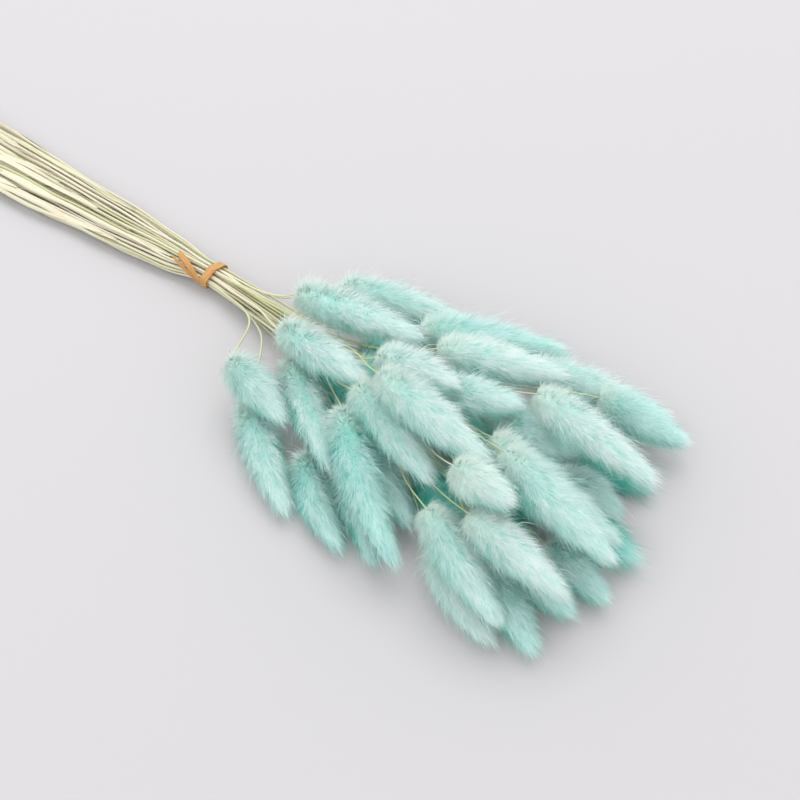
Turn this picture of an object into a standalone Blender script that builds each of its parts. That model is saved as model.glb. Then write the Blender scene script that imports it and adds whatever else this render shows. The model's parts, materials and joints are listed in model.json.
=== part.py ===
"""A tied bunch of dried bunny tail grass, dyed mint, lying on a flat surface.

Every plant is one line of points: from the cut end of its stem, through the tie, to the base
and on to the tip of its head. The lines are first laid where the bunch holds them. They are
then settled: pushed clear of each other, so that the soft heads lie on one another and every
stem passes between them. +X points from the cut ends to the heads, +Z is up, and the surface
is at Z = 0.
"""
import math
import random
from types import SimpleNamespace

import bmesh
import bpy
import numpy as np

MM = 0.001
UP = np.array([0.0, 0.0, 1.0])
GAP = 0.35 * MM

# Heads that show, in millimetres and degrees, seen from the tie: reach, bearing and height of
# the base, then the heading of the head, the height of its tip and its length
SEEN_HEADS = (
    (51, -42, 21, -12, 15, 33),
    (63, -38, 6, -40, 6, 51),
    (50, -19, 23, -5, 30, 44),
    (57, -20, 18, -38, 18, 52),
    (91, -30, 6, -41, 6, 43),
    (101, -26, 7, -39, 6, 41),
    (93, -18, 19, -44, 14, 62),
    (90, -16, 34, -20, 28, 46),
    (100, -22, 15, -25, 12, 39),
    (103, 3, 32, 21, 26, 50),
    (91, 10, 17, 27, 9, 58),
    (91, -12, 40, 17, 42, 34),
    (112, -5, 36, 17, 34, 33),
    (98, -13, 40, -3, 40, 51),
    (145, 0, 41, 1, 28, 54),
    (138, -4, 27, -3, 24, 28),
    (166, -5, 16, 9, 8, 28),
    (163, 10, 16, 3, 10, 38),
    (134, 11, 13, 13, 6, 58),
    (141, -17, 45, 4, 43, 26),
    (155, -17, 39, -9, 24, 45),
    (140, -6, 29, -8, 18, 60),
    (142, -21, 28, -25, 16, 49),
    (150, -22, 8, -26, 6, 42),
    (169, -18, 10, -31, 6, 35),
    (172, -15, 8, -11, 6, 28),
    (149, -8, 36, -13, 24, 55),
    (174, -10, 9, -17, 6, 31),
    (42, 3, 22, 4, 32, 57),
    (54, 20, 12, 16, 8, 53),
)

# Heads under them, by a rule: each lies further out than the one before, in three rows
HIDDEN_COUNT = 12
HIDDEN_FIRST_REACH = 60
HIDDEN_STEP = 10
HIDDEN_ROWS = ((-15, 5), (2, 5), (-7, 16))
HIDDEN_DRIFT = 2
HIDDEN_TURN = 6
HIDDEN_TIP_HEIGHT = 6
HIDDEN_LENGTHS = (30, 38)

# Shape of a head: a core whose whole skin is raised to tufts that lean towards its tip
HEAD_RADIUS = 7.6 * MM
HEAD_LENGTH = 45 * MM
HEAD_SLIMMEST = 0.9
HEAD_STOUTEST = 1.08
PROFILE_AT = (0.0, 0.12, 0.35, 0.62, 0.85, 1.0)
PROFILE_RADIUS = (0.62, 0.90, 1.0, 0.93, 0.67, 0.33)
CORE_SHARE = 0.62
TUFTS_ROUND = 7
TUFT_STEP = 2 * math.pi / TUFTS_ROUND
TUFT_PITCH = 6.2 * MM
TUFT_LEAN = 3.2 * MM
BASE_TUFT_LEAN = 0.8 * MM
TUFT_UNEVEN = 0.06
TUFT_SWAY = 0.12
FLOOR_PRESS = 1.2 * MM
NEAR_CUT = 0.1 * MM
SPINE_REACH = 5 * MM

# Stems: their radius thins from the cut end to the head
STEM_SIDES = 5
STEM_SHARP_FROM = 75
STEM_RADIUS_AT = (-225 * MM, 0.0, 150 * MM)
STEM_RADIUS = (0.58 * MM, 0.48 * MM, 0.38 * MM)
FRONT_STRETCH = 15 * MM
LEAST_STRETCHES = 6
BUNDLE_WAY = (1.0, -0.11, 0.0)
BUNDLED_SHARE = 0.4
BUNDLED_LONGEST = 58 * MM
FRONT_START_PULL = 0.9
FRONT_END_PULL = 0.6
FRONT_RISE_POWER = 2.4

# The cut side, behind the tie: how far each point lies behind it, and how the stems spread
# out of their columns into three thin layers
BEHIND = (225 * MM, 178 * MM, 130 * MM, 90 * MM, 60 * MM, 36 * MM, 16 * MM)
CUT_UNEVEN = 6 * MM
TIE_HALF_WIDTH = 4.8 * MM
CUT_HALF_WIDTH = 17.5 * MM
CUT_ASIDE = 0.7 * MM
SPREAD_POWER = 0.6
RANK_STRAY = 0.06
MIXED_BY = 75 * MM
SINK_POWER = 0.5
LAYER_HEIGHTS = (0.7 * MM, 2.1 * MM, 3.5 * MM)

# The tie presses the stems into columns of groups, and the three stems of a group, which lie
# at these turns round its middle, into one body
TIE_HEIGHT = 5.4 * MM
COLUMNS = (2, 3, 4, 3, 2)
COLUMN_PITCH = 2.0 * MM
GROUP_PITCH = 2.2 * MM
STEM_PITCH = 0.62 * MM
TRIO_TURNS = (210, 90, 330)
PRESSED_HALF = 5 * MM

# The tie itself: a flat strip round the stems, with two tails that point back along them
TIE_AT = 1.6 * MM
TIE_WIDTH = 3.3 * MM
TIE_THICKNESS = 0.8 * MM
TIE_SLANT = 0.2
TIE_POINTS = 26
TAIL_THICKNESS = 0.7 * MM
WIDE_TAIL = ((2.0, 186), (-1.5, 172), (-4.5, 150), (-8.0, 128), (-11.0, 113), (-14.5, 99))
WIDE_TAIL_WIDTHS = (3.0 * MM, 2.2 * MM)
THIN_TAIL = ((1.0, 196), (-2.5, 184), (-6.5, 160), (-10.5, 143), (-15.0, 128))
THIN_TAIL_WIDTHS = (1.6 * MM, 1.2 * MM)

# Settling
STEPS = 480
EASED_STEPS = 360
REFRESH = 15
REFRESH_MARGIN = 2.5 * MM
PULL = 0.03
SEEN_HEAD_YIELD = 0.25
HIDDEN_HEAD_YIELD = 0.7
STEM_STIFFNESS = 0.3
HEAD_STIFFNESS = 0.25
LENGTH_STIFFNESS = 0.5
PUSH = 1.3
LONGEST_PUSH = 3 * MM
LEAST_YIELD = 0.02
LEAST_DISTANCE = 0.003 * MM
PARALLEL_UNDER = 1e-9

# Colours, linear
MINT = (0.40, 0.74, 0.67)
STRAW = (0.74, 0.70, 0.50)
TAN = (0.60, 0.30, 0.10)
TINT_UNEVEN = 0.06
HEAD_ROUGHNESS = 0.9
STEM_ROUGHNESS = 0.6
TIE_ROUGHNESS = 0.5

LAYOUT_SEED = 1
STRAY_SEED = 3
TUFT_SEED = 11


def unit(vector):
    """Returns a vector scaled to length one."""
    return vector / np.linalg.norm(vector)


def dot(first, second):
    """Returns the dot product of each row of one array with the same row of another."""
    return first[:, 0] * second[:, 0] + first[:, 1] * second[:, 1] + first[:, 2] * second[:, 2]


def flat_point(reach, degrees):
    """Returns the point at a reach and a bearing on the surface."""
    turn = math.radians(degrees)
    return np.array([reach * math.cos(turn), reach * math.sin(turn), 0.0])


def make_plant(row, head_yield):
    """Returns a plant from its row: the base and the tip of its head, its sizes, and how far
    its head gives way."""
    reach, bearing, base_height, heading, tip_height, length = row
    base = flat_point(reach * MM, bearing) + UP * base_height * MM
    rise = (tip_height - base_height) * MM
    run = math.sqrt((length * MM) ** 2 - rise ** 2)
    tip = base + flat_point(run, heading) + UP * rise
    stout = min(HEAD_STOUTEST, max(HEAD_SLIMMEST, length * MM / HEAD_LENGTH))
    return SimpleNamespace(
        base=base,
        tip=tip,
        length=length * MM,
        radius=HEAD_RADIUS * stout,
        fan=base[1] / base[0],
        climb=(base[2] - TIE_HEIGHT) / base[0],
        head_yield=head_yield,
    )


def hidden_rows(rng):
    """Yields the rows of the heads that lie under those that show."""
    for number in range(HIDDEN_COUNT):
        bearing, height = HIDDEN_ROWS[number % len(HIDDEN_ROWS)]
        reach = HIDDEN_FIRST_REACH + HIDDEN_STEP * number + rng.uniform(-HIDDEN_DRIFT, HIDDEN_DRIFT)
        bearing += rng.uniform(-HIDDEN_DRIFT, HIDDEN_DRIFT)
        heading = bearing + rng.uniform(-HIDDEN_TURN, HIDDEN_TURN)
        length = rng.uniform(*HIDDEN_LENGTHS)
        yield reach, bearing, height, heading, HIDDEN_TIP_HEIGHT, length


def group_centre(column, row):
    """Returns where the tie holds a group of stems."""
    across = (column - (len(COLUMNS) - 1) / 2) * COLUMN_PITCH
    up = (row - (COLUMNS[column] - 1) / 2) * GROUP_PITCH
    return np.array([0.0, across, TIE_HEIGHT + up])


def share_out_slots(plants):
    """Gives each plant its place in the tie, so that stems that go the same way lie together."""
    waiting = sorted(plants, key=lambda plant: plant.fan)
    around = STEM_PITCH / math.sqrt(3)
    group = 0
    for column, count in enumerate(COLUMNS):
        chosen = sorted(waiting[:len(TRIO_TURNS) * count], key=lambda plant: plant.climb)
        waiting = waiting[len(TRIO_TURNS) * count:]
        for row in range(count):
            trio = sorted(chosen[:len(TRIO_TURNS)], key=lambda plant: plant.fan)
            chosen = chosen[len(TRIO_TURNS):]
            for plant, degrees in zip(trio, TRIO_TURNS):
                turn = math.radians(degrees)
                plant.group = group
                plant.slot = group_centre(column, row)
                plant.slot += around * np.array([0.0, math.cos(turn), math.sin(turn)])
            group += 1


def rank_stems(plants, rng):
    """Gives each plant its rank across the bunch behind the tie, from -1 to 1, and its layer."""
    across = sorted(plants, key=lambda plant: plant.slot[1])
    for number, plant in enumerate(across):
        plant.rank = 2 * number / (len(plants) - 1) - 1 + rng.uniform(-RANK_STRAY, RANK_STRAY)
    for first in range(0, len(plants), len(LAYER_HEIGHTS)):
        neighbours = sorted(across[first:first + len(LAYER_HEIGHTS)], key=lambda plant: plant.slot[2])
        for plant, height in zip(neighbours, LAYER_HEIGHTS):
            plant.layer = height


def cut_side(plant, rng):
    """Returns the points of a stem behind the tie, where the stems spread and sink."""
    longer = rng.uniform(-CUT_UNEVEN, CUT_UNEVEN)
    points = []
    for behind in BEHIND:
        share = behind / BEHIND[0]
        mixed = min(1.0, behind / MIXED_BY)
        sunk = share ** SINK_POWER
        half_width = TIE_HALF_WIDTH + (CUT_HALF_WIDTH - TIE_HALF_WIDTH) * share ** SPREAD_POWER
        fanned = plant.slot[1] * half_width / TIE_HALF_WIDTH
        ranked = plant.rank * half_width + CUT_ASIDE
        points.append(np.array([
            -behind - (longer if behind == BEHIND[0] else 0.0),
            fanned * (1 - mixed) + ranked * mixed,
            plant.slot[2] * (1 - sunk) + plant.layer * sunk,
        ]))
    return points


def front_side(plant, start):
    """Returns the points of a stem between the tie and its head: straight on in the bundle,
    then in a bend to the head, low at first and then rising."""
    onward = unit(np.array(BUNDLE_WAY))
    bundled = min(BUNDLED_LONGEST, BUNDLED_SHARE * np.linalg.norm(plant.base - start))
    corner = start + onward * bundled
    bending = np.linalg.norm(plant.base - corner)
    leave = onward * bending * FRONT_START_PULL
    arrive = unit(plant.tip - plant.base) * bending * FRONT_END_PULL
    count = max(LEAST_STRETCHES, round((bundled + bending) / FRONT_STRETCH))
    points = []
    for share in np.arange(1, count) / count:
        at = share * (bundled + bending)
        u = max(0.0, (at - bundled) / bending)
        point = (
            (2 * u ** 3 - 3 * u ** 2 + 1) * corner
            + (u ** 3 - 2 * u ** 2 + u) * leave
            + (3 * u ** 2 - 2 * u ** 3) * plant.base
            + (u ** 3 - u ** 2) * arrive
        )
        point += onward * min(0.0, at - bundled)
        point[2] = start[2] + (plant.base[2] - start[2]) * share ** FRONT_RISE_POWER
        points.append(point)
    return points


def head_side(plant):
    """Returns the points of a head, whose last one is the middle of its round tip."""
    inner = plant.length - PROFILE_RADIUS[-1] * plant.radius
    return [plant.base + (plant.tip - plant.base) * at * inner / plant.length for at in PROFILE_AT]


def lay_line(plant, rng):
    """Lays the plant's whole line and notes which of its points the tie holds."""
    back = cut_side(plant, rng)
    held = [plant.slot - [PRESSED_HALF, 0, 0], plant.slot + [PRESSED_HALF, 0, 0]]
    front = front_side(plant, held[1])
    plant.line = np.array(back + held + front + head_side(plant))
    plant.held = np.zeros(len(plant.line), dtype=bool)
    plant.held[len(back):len(back) + len(held)] = True
    plant.head_from = len(plant.line) - len(PROFILE_AT)


def stem_radius(x):
    """Returns the stem's radius at a place along the bunch."""
    return np.interp(x, STEM_RADIUS_AT, STEM_RADIUS)


def stretch_radii(plant):
    """Returns the radius at both ends of every stretch of the plant's line."""
    stem = stem_radius(plant.line[:plant.head_from + 1, 0])
    head = np.array(PROFILE_RADIUS) * plant.radius
    starts = np.concatenate((stem[:-1], head[:-1]))
    ends = np.concatenate((stem[1:], head[1:]))
    return np.column_stack((starts, ends))


def gather(plants):
    """Returns all lines as one net of points and stretches."""
    firsts = np.cumsum([0] + [len(plant.line) for plant in plants])
    starts = [first + np.arange(len(plant.line) - 1) for first, plant in zip(firsts, plants)]
    counts = [len(part) for part in starts]
    starts = np.concatenate(starts)
    in_head = [np.arange(len(plant.line)) >= plant.head_from for plant in plants]
    yields = [np.where(inside, plant.head_yield, 1.0) for inside, plant in zip(in_head, plants)]
    net = SimpleNamespace(
        points=np.concatenate([plant.line for plant in plants]),
        firsts=firsts,
        starts=starts,
        ends=starts + 1,
        radii=np.concatenate([stretch_radii(plant) for plant in plants]),
        owner=np.repeat(np.arange(len(plants)), counts),
        group=np.repeat([plant.group for plant in plants], counts),
        held=np.concatenate([plant.held for plant in plants]),
        in_head=np.concatenate(in_head),
        yields=np.concatenate(yields),
    )
    net.yields[net.held] = 0.0
    net.lowest = lowest_heights(net)
    return net


def lowest_heights(net):
    """Returns how low the surface lets each point come; a soft head is pressed a little flat."""
    lowest = np.zeros(len(net.points))
    np.maximum.at(lowest, net.starts, net.radii[:, 0])
    np.maximum.at(lowest, net.ends, net.radii[:, 1])
    return np.where(net.in_head, np.maximum(lowest - FLOOR_PRESS, 0.0), lowest)


def near_pairs(net):
    """Returns the pairs of stretches of different plants that lie close to each other."""
    margin = net.radii.max(axis=1)[:, None] + REFRESH_MARGIN
    low = np.minimum(net.points[net.starts], net.points[net.ends]) - margin
    high = np.maximum(net.points[net.starts], net.points[net.ends]) + margin
    first, second = np.triu_indices(len(net.starts), 1)
    keep = net.owner[first] != net.owner[second]
    held = net.held[net.starts] | net.held[net.ends]
    keep &= ~((net.group[first] == net.group[second]) & held[first] & held[second])
    for axis in range(3):
        keep &= low[first, axis] < high[second, axis]
        keep &= low[second, axis] < high[first, axis]
    return first[keep], second[keep]


def closest_points(net, first, second):
    """Returns how far along both stretches of each pair their closest points lie, and the way
    from one to the other."""
    start_a, start_b = net.points[net.starts[first]], net.points[net.starts[second]]
    run_a = net.points[net.ends[first]] - start_a
    run_b = net.points[net.ends[second]] - start_b
    apart = start_a - start_b
    aa, bb, ab = dot(run_a, run_a), dot(run_b, run_b), dot(run_a, run_b)
    ac, bc = dot(run_a, apart), dot(run_b, apart)
    spread = aa * bb - ab * ab
    askew = spread > PARALLEL_UNDER * aa * bb
    along_a = np.where(askew, (ab * bc - ac * bb) / np.where(askew, spread, 1.0), 0.5)
    along_a = np.clip(along_a, 0.0, 1.0)
    along_b = (ab * along_a + bc) / bb
    at_start = np.clip(-ac / aa, 0.0, 1.0)
    at_end = np.clip((ab - ac) / aa, 0.0, 1.0)
    along_a = np.where(along_b < 0, at_start, np.where(along_b > 1, at_end, along_a))
    along_b = np.clip(along_b, 0.0, 1.0)
    way = apart + run_a * along_a[:, None] - run_b * along_b[:, None]
    return along_a, along_b, way


def push_apart(net, first, second):
    """Moves the points of stretches that come too close, each as far as it yields."""
    along_a, along_b, way = closest_points(net, first, second)
    distance = np.sqrt(dot(way, way))
    needed = net.radii[first, 0] * (1 - along_a) + net.radii[first, 1] * along_a
    needed += net.radii[second, 0] * (1 - along_b) + net.radii[second, 1] * along_b
    short = needed + GAP - distance
    shares = (
        (net.starts[first], 1 - along_a, 1.0),
        (net.ends[first], along_a, 1.0),
        (net.starts[second], 1 - along_b, -1.0),
        (net.ends[second], along_b, -1.0),
    )
    give = sum(net.yields[index] * share ** 2 for index, share, sign in shares)
    hit = (short > 0) & (give > LEAST_YIELD)
    strength = short[hit] / give[hit] / np.maximum(distance[hit], LEAST_DISTANCE)
    moves = np.zeros_like(net.points)
    hits = np.zeros(len(net.points))
    for index, share, sign in shares:
        weight = strength * share[hit] * net.yields[index[hit]] * sign
        np.add.at(moves, index[hit], way[hit] * weight[:, None])
        np.add.at(hits, index[hit], 1)
    moves /= np.maximum(hits, 1)[:, None]
    size = np.sqrt(dot(moves, moves))
    moves *= (PUSH * np.minimum(1.0, LONGEST_PUSH / np.maximum(size, LEAST_DISTANCE)))[:, None]
    net.points += moves


def keep_lengths(net, lengths):
    """Draws each stretch back towards its own length."""
    run = net.points[net.ends] - net.points[net.starts]
    now = np.sqrt(dot(run, run))
    start_yield, end_yield = net.yields[net.starts], net.yields[net.ends]
    total = np.maximum(start_yield + end_yield, LEAST_YIELD)
    fix = run * (LENGTH_STIFFNESS * (now - lengths) / now / total)[:, None]
    moves = np.zeros_like(net.points)
    np.add.at(moves, net.starts, fix * start_yield[:, None])
    np.add.at(moves, net.ends, -fix * end_yield[:, None])
    net.points += moves


def bend_offsets(net, middle, share):
    """Returns how far each inner point lies off the straight way between its neighbours."""
    before, after = net.points[middle - 1], net.points[middle + 1]
    return net.points[middle] - before * share - after * (1 - share)


def settle(net):
    """Pushes the lines clear of each other, while they keep their length, bend and place."""
    goal = net.points.copy()
    run = goal[net.ends] - goal[net.starts]
    lengths = np.sqrt(dot(run, run))
    middle = np.intersect1d(net.starts, net.ends)
    before = np.interp(middle, net.ends, lengths)
    after = np.interp(middle, net.starts, lengths)
    share = (after / (before + after))[:, None]
    bends = bend_offsets(net, middle, share)
    stiffness = np.where(net.in_head[middle], HEAD_STIFFNESS, STEM_STIFFNESS)[:, None]
    free = ~net.held[:, None]
    for step in range(STEPS):
        if step % REFRESH == 0:
            pairs = near_pairs(net)
        if step < EASED_STEPS:
            net.points += (goal - net.points) * PULL * (1 - step / EASED_STEPS)
            straighten = (bends - bend_offsets(net, middle, share)) * stiffness
            net.points[middle] += straighten * free[middle]
        keep_lengths(net, lengths)
        push_apart(net, *pairs)
        net.points[:, 2] = np.maximum(net.points[:, 2], np.where(net.held, 0.0, net.lowest))
        net.points[net.held] = goal[net.held]


class Spine:
    """A line that can be read at any distance along it."""

    def __init__(self, line):
        runs = np.linalg.norm(np.diff(line, axis=0), axis=1)
        self.line = line
        self.marks = np.concatenate(([0.0], np.cumsum(runs)))

    def place(self, distance):
        """Returns the point at a distance along the line."""
        return np.array([np.interp(distance, self.marks, self.line[:, axis]) for axis in range(3)])

    def frame(self, distance):
        """Returns the point there, with the way forward, to the side and up."""
        forward = unit(self.place(distance + SPINE_REACH) - self.place(distance - SPINE_REACH))
        side = unit(np.cross(UP, forward))
        return self.place(distance), forward, side, np.cross(forward, side)


def ring_point(frame, radius, turn):
    """Returns a point beside a line, at a radius and a turn round it."""
    centre, forward, side, over = frame
    return centre + radius * (math.cos(turn) * side + math.sin(turn) * over)


def head_rings(spine, radii, rings, pitch, roll):
    """Returns the valley points of a head, ring by staggered ring."""
    points = []
    for ring in range(rings + 1):
        frame = spine.frame(ring * pitch)
        radius = CORE_SHARE * np.interp(ring * pitch, spine.marks, radii)
        for place in range(TUFTS_ROUND):
            turn = roll + TUFT_STEP * (place + 0.5 * (ring % 2))
            points.append(ring_point(frame, radius, turn))
    return points


def head_shape(plant, rng):
    """Returns the points and faces of a head. Rings of valley points are staggered, and each
    diamond between them is raised to a four-sided tuft that leans towards the tip."""
    line = plant.line[plant.head_from:]
    radii = np.array(PROFILE_RADIUS + (0.0,)) * plant.radius
    spine = Spine(np.vstack((line, line[-1] + unit(line[-1] - line[-2]) * radii[-2])))
    length = spine.marks[-1]
    rings = round(length / TUFT_PITCH)
    pitch = length / (rings + 1)
    roll = rng.uniform(0, TUFT_STEP)
    points = head_rings(spine, radii, rings, pitch, roll)
    base_middle = len(points)
    tip = base_middle + 1
    points += [spine.line[0], spine.line[-1]]

    faces = []
    for ring in range(rings + 1):
        lean = TUFT_LEAN if ring else BASE_TUFT_LEAN
        for place in range(TUFTS_ROUND):
            left = ring * TUFTS_ROUND + place
            right = ring * TUFTS_ROUND + (place + 1) % TUFTS_ROUND
            beside = (place + ring % 2) % TUFTS_ROUND
            rear = (ring - 1) * TUFTS_ROUND + beside if ring else base_middle
            front = (ring + 1) * TUFTS_ROUND + beside if ring < rings else tip
            distance = ring * pitch + lean * (1 + rng.uniform(-TUFT_SWAY, TUFT_SWAY))
            sway = rng.uniform(-TUFT_SWAY, TUFT_SWAY)
            turn = roll + TUFT_STEP * (place + 0.5 + 0.5 * (ring % 2) + sway)
            radius = np.interp(distance, spine.marks, radii) * (1 - rng.uniform(0, TUFT_UNEVEN))
            tuft = len(points)
            points.append(ring_point(spine.frame(distance), radius, turn))
            for corner, following in ((left, rear), (rear, right), (right, front), (front, left)):
                faces.append((corner, following, tuft))
    return points, faces


def tube_faces(rings, corners):
    """Returns the faces of a tube of rings of points, closed at both ends."""
    faces = []
    for ring in range(0, (rings - 1) * corners, corners):
        for corner in range(corners):
            beside = (corner + 1) % corners
            faces.append((ring + corner, ring + beside, ring + corners + beside,
                          ring + corners + corner))
    faces.append(tuple(range(corners)))
    faces.append(tuple(range((rings - 1) * corners, rings * corners)))
    return faces


def tube_shape(line, radii, end_way):
    """Returns the points and faces of a closed tube along a line, its end square to a way."""
    points = []
    ways = [line[1] - line[0], *(line[2:] - line[:-2]), end_way]
    for centre, radius, way in zip(line, radii, ways):
        forward = unit(way)
        side = unit(np.cross(UP, forward))
        frame = (centre, forward, side, np.cross(forward, side))
        for corner in range(STEM_SIDES):
            points.append(ring_point(frame, radius, 2 * math.pi * corner / STEM_SIDES))
    return points, tube_faces(len(line), STEM_SIDES)


def stem_shape(plant):
    """Returns the points and faces of a stem, which ends just short of its head."""
    line = plant.line[:plant.head_from + 1].copy()
    head_way = unit(plant.line[plant.head_from + 1] - line[-1])
    line[-1] -= head_way * GAP
    return tube_shape(line, stem_radius(line[:, 0]), head_way)


def bundle_reach(plants, x, turn):
    """Returns how far the stems reach from the bundle's middle at a place along it, seen in
    one direction round it."""
    way = np.array([math.cos(turn), math.sin(turn)])
    reach = 0.0
    for plant in plants:
        stem = plant.line[:plant.head_from + 1]
        across = np.interp(x, stem[:, 0], stem[:, 1])
        height = np.interp(x, stem[:, 0], stem[:, 2]) - TIE_HEIGHT
        reach = max(reach, across * way[0] + height * way[1] + stem_radius(x))
    return reach


def farthest_stem(plants, way):
    """Returns where, in the tie, the stem lies that is farthest out in one direction."""
    places = [plant.slot[1:] - np.array([0.0, TIE_HEIGHT]) for plant in plants]
    return max(places, key=lambda place: place @ way)


def band_shape(plants):
    """Returns the points and faces of the strip that goes round the stems."""
    points = []
    faces = []
    inner = stem_radius(0.0) + GAP
    corners = (
        (-TIE_WIDTH / 2, inner),
        (TIE_WIDTH / 2, inner),
        (TIE_WIDTH / 2, inner + TIE_THICKNESS),
        (-TIE_WIDTH / 2, inner + TIE_THICKNESS),
    )
    for number in range(TIE_POINTS):
        turn = 2 * math.pi * number / TIE_POINTS
        way = np.array([math.cos(turn), math.sin(turn)])
        stem = farthest_stem(plants, way)
        for aside, out in corners:
            across, up = stem + way * out
            points.append(np.array([TIE_AT + aside + TIE_SLANT * across, across, TIE_HEIGHT + up]))
    for number in range(TIE_POINTS):
        ring = number * len(corners)
        following = (number + 1) % TIE_POINTS * len(corners)
        for corner in range(len(corners)):
            beside = (corner + 1) % len(corners)
            faces.append((ring + corner, ring + beside, following + beside, following + corner))
    return points, faces


def tail_shape(plants, path, widths):
    """Returns the points and faces of a tail of the tie that lies on the stems."""
    centres = []
    outward = []
    for x, degrees in path:
        turn = math.radians(degrees)
        out = np.array([0.0, math.cos(turn), math.sin(turn)])
        reach = bundle_reach(plants, x * MM, turn) + GAP + TAIL_THICKNESS / 2
        centres.append(np.array([x * MM, 0.0, TIE_HEIGHT]) + out * reach)
        outward.append(out)
    points = []
    corners = ((-1, -1), (1, -1), (1, 1), (-1, 1))
    for number, (centre, out) in enumerate(zip(centres, outward)):
        before, after = centres[max(number - 1, 0)], centres[min(number + 1, len(centres) - 1)]
        side = unit(np.cross(out, after - before))
        half = np.interp(number, (0, len(centres) - 1), widths) / 2
        for aside, above in corners:
            points.append(centre + side * half * aside + out * TAIL_THICKNESS / 2 * above)
    return points, tube_faces(len(centres), len(corners))


def cut_at_surface(work):
    """Cuts a head flat where it is pressed on the surface."""
    for vertex in work.verts:
        if abs(vertex.co.z) < NEAR_CUT:
            vertex.co.z = NEAR_CUT
    geometry = work.verts[:] + work.edges[:] + work.faces[:]
    cut = bmesh.ops.bisect_plane(work, geom=geometry, plane_co=(0, 0, 0), plane_no=(0, 0, 1),
                                 clear_inner=True)
    edges = [item for item in cut["geom_cut"] if isinstance(item, bmesh.types.BMEdge)]
    if edges:
        bmesh.ops.holes_fill(work, edges=edges, sides=0)


def add_object(name, shape, smooth=False, pressed=False):
    """Adds a mesh object with outward faces."""
    points, faces = shape
    work = bmesh.new()
    vertices = [work.verts.new(tuple(point)) for point in points]
    for face in faces:
        work.faces.new([vertices[index] for index in face])
    if pressed:
        cut_at_surface(work)
    bmesh.ops.recalc_face_normals(work, faces=work.faces[:])
    mesh = bpy.data.meshes.new(name)
    work.to_mesh(mesh)
    work.free()
    if smooth:
        mesh.shade_smooth()
        mesh.set_sharp_from_angle(angle=math.radians(STEM_SHARP_FROM))
    item = bpy.data.objects.new(name, mesh)
    bpy.context.scene.collection.objects.link(item)
    return item


def fuse(name, pieces):
    """Joins pieces to one closed body with one Boolean union, and removes the rest."""
    main, others = pieces[0], pieces[1:]
    helpers = bpy.data.collections.new(name + "_pieces")
    bpy.context.scene.collection.children.link(helpers)
    for item in others:
        helpers.objects.link(item)
    union = main.modifiers.new("Union", "BOOLEAN")
    union.operation = "UNION"
    union.operand_type = "COLLECTION"
    union.collection = helpers
    union.solver = "EXACT"
    evaluated = main.evaluated_get(bpy.context.evaluated_depsgraph_get())
    joined = bpy.data.meshes.new_from_object(evaluated)
    main.modifiers.clear()
    main.data = joined
    main.name = name
    joined.name = name
    for item in others:
        bpy.data.objects.remove(item)
    bpy.data.collections.remove(helpers)
    return main


def finish(item, colour, roughness):
    """Gives a piece its own plain material."""
    material = bpy.data.materials.new(item.name)
    material.use_nodes = True
    shader = material.node_tree.nodes["Principled BSDF"]
    shader.inputs["Base Color"].default_value = (*colour, 1.0)
    shader.inputs["Roughness"].default_value = roughness
    shader.inputs["Metallic"].default_value = 0.0
    item.data.materials.clear()
    item.data.materials.append(material)


def tinted(colour, rng):
    """Returns a colour a little lighter or darker."""
    light = 1 + rng.uniform(-TINT_UNEVEN, TINT_UNEVEN)
    return tuple(min(1.0, part * light) for part in colour)


def make_heads(plants, rng):
    """Makes a head for each plant."""
    for number, plant in enumerate(plants, start=1):
        item = add_object(f"head_{number:02d}", head_shape(plant, rng), pressed=True)
        finish(item, tinted(MINT, rng), HEAD_ROUGHNESS)


def make_stems(plants, rng):
    """Makes the stems, fused in the groups that the tie presses together."""
    for group in range(sum(COLUMNS)):
        name = f"stems_{group + 1:02d}"
        members = [plant for plant in plants if plant.group == group]
        pieces = [add_object(name, stem_shape(plant), smooth=True) for plant in members]
        finish(fuse(name, pieces), tinted(STRAW, rng), STEM_ROUGHNESS)


def make_tie(plants):
    """Makes the tie: the strip round the stems and its two tails, in one body."""
    pieces = [
        add_object("tie", band_shape(plants)),
        add_object("tie", tail_shape(plants, WIDE_TAIL, WIDE_TAIL_WIDTHS)),
        add_object("tie", tail_shape(plants, THIN_TAIL, THIN_TAIL_WIDTHS)),
    ]
    finish(fuse("tie", pieces), TAN, TIE_ROUGHNESS)


def centre_on_origin():
    """Moves the bunch so that the middle of its box stands over the origin."""
    corners = np.array([tuple(vertex.co) for item in bpy.data.objects for vertex in item.data.vertices])
    middle = (corners.min(axis=0) + corners.max(axis=0)) / 2
    for item in bpy.data.objects:
        item.location = (-middle[0], -middle[1], 0.0)


def lay_bunch():
    """Returns all plants, each with its settled line."""
    plants = [make_plant(row, SEEN_HEAD_YIELD) for row in SEEN_HEADS]
    plants += [make_plant(row, HIDDEN_HEAD_YIELD) for row in hidden_rows(random.Random(LAYOUT_SEED))]
    share_out_slots(plants)
    stray = random.Random(STRAY_SEED)
    rank_stems(plants, stray)
    for plant in plants:
        lay_line(plant, stray)
    net = gather(plants)
    settle(net)
    for plant, first, last in zip(plants, net.firsts, net.firsts[1:]):
        plant.line = net.points[first:last]
    return plants


def main():
    """Builds the bunch."""
    for item in list(bpy.data.objects):
        bpy.data.objects.remove(item)
    plants = lay_bunch()
    uneven = random.Random(TUFT_SEED)
    make_heads(plants, uneven)
    make_stems(plants, uneven)
    make_tie(plants)
    centre_on_origin()


main()
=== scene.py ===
"""Looks of the bunny tail bunch: soft haired heads, thin dried stems with papery sheaths, a strip
tie, and a studio.

Every head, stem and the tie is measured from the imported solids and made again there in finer
detail, so that each piece keeps the place and form of its solid.
"""
import json
import math
from itertools import permutations

import bpy
import numpy as np
from mathutils import Matrix, Vector
from mathutils.bvhtree import BVHTree

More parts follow.
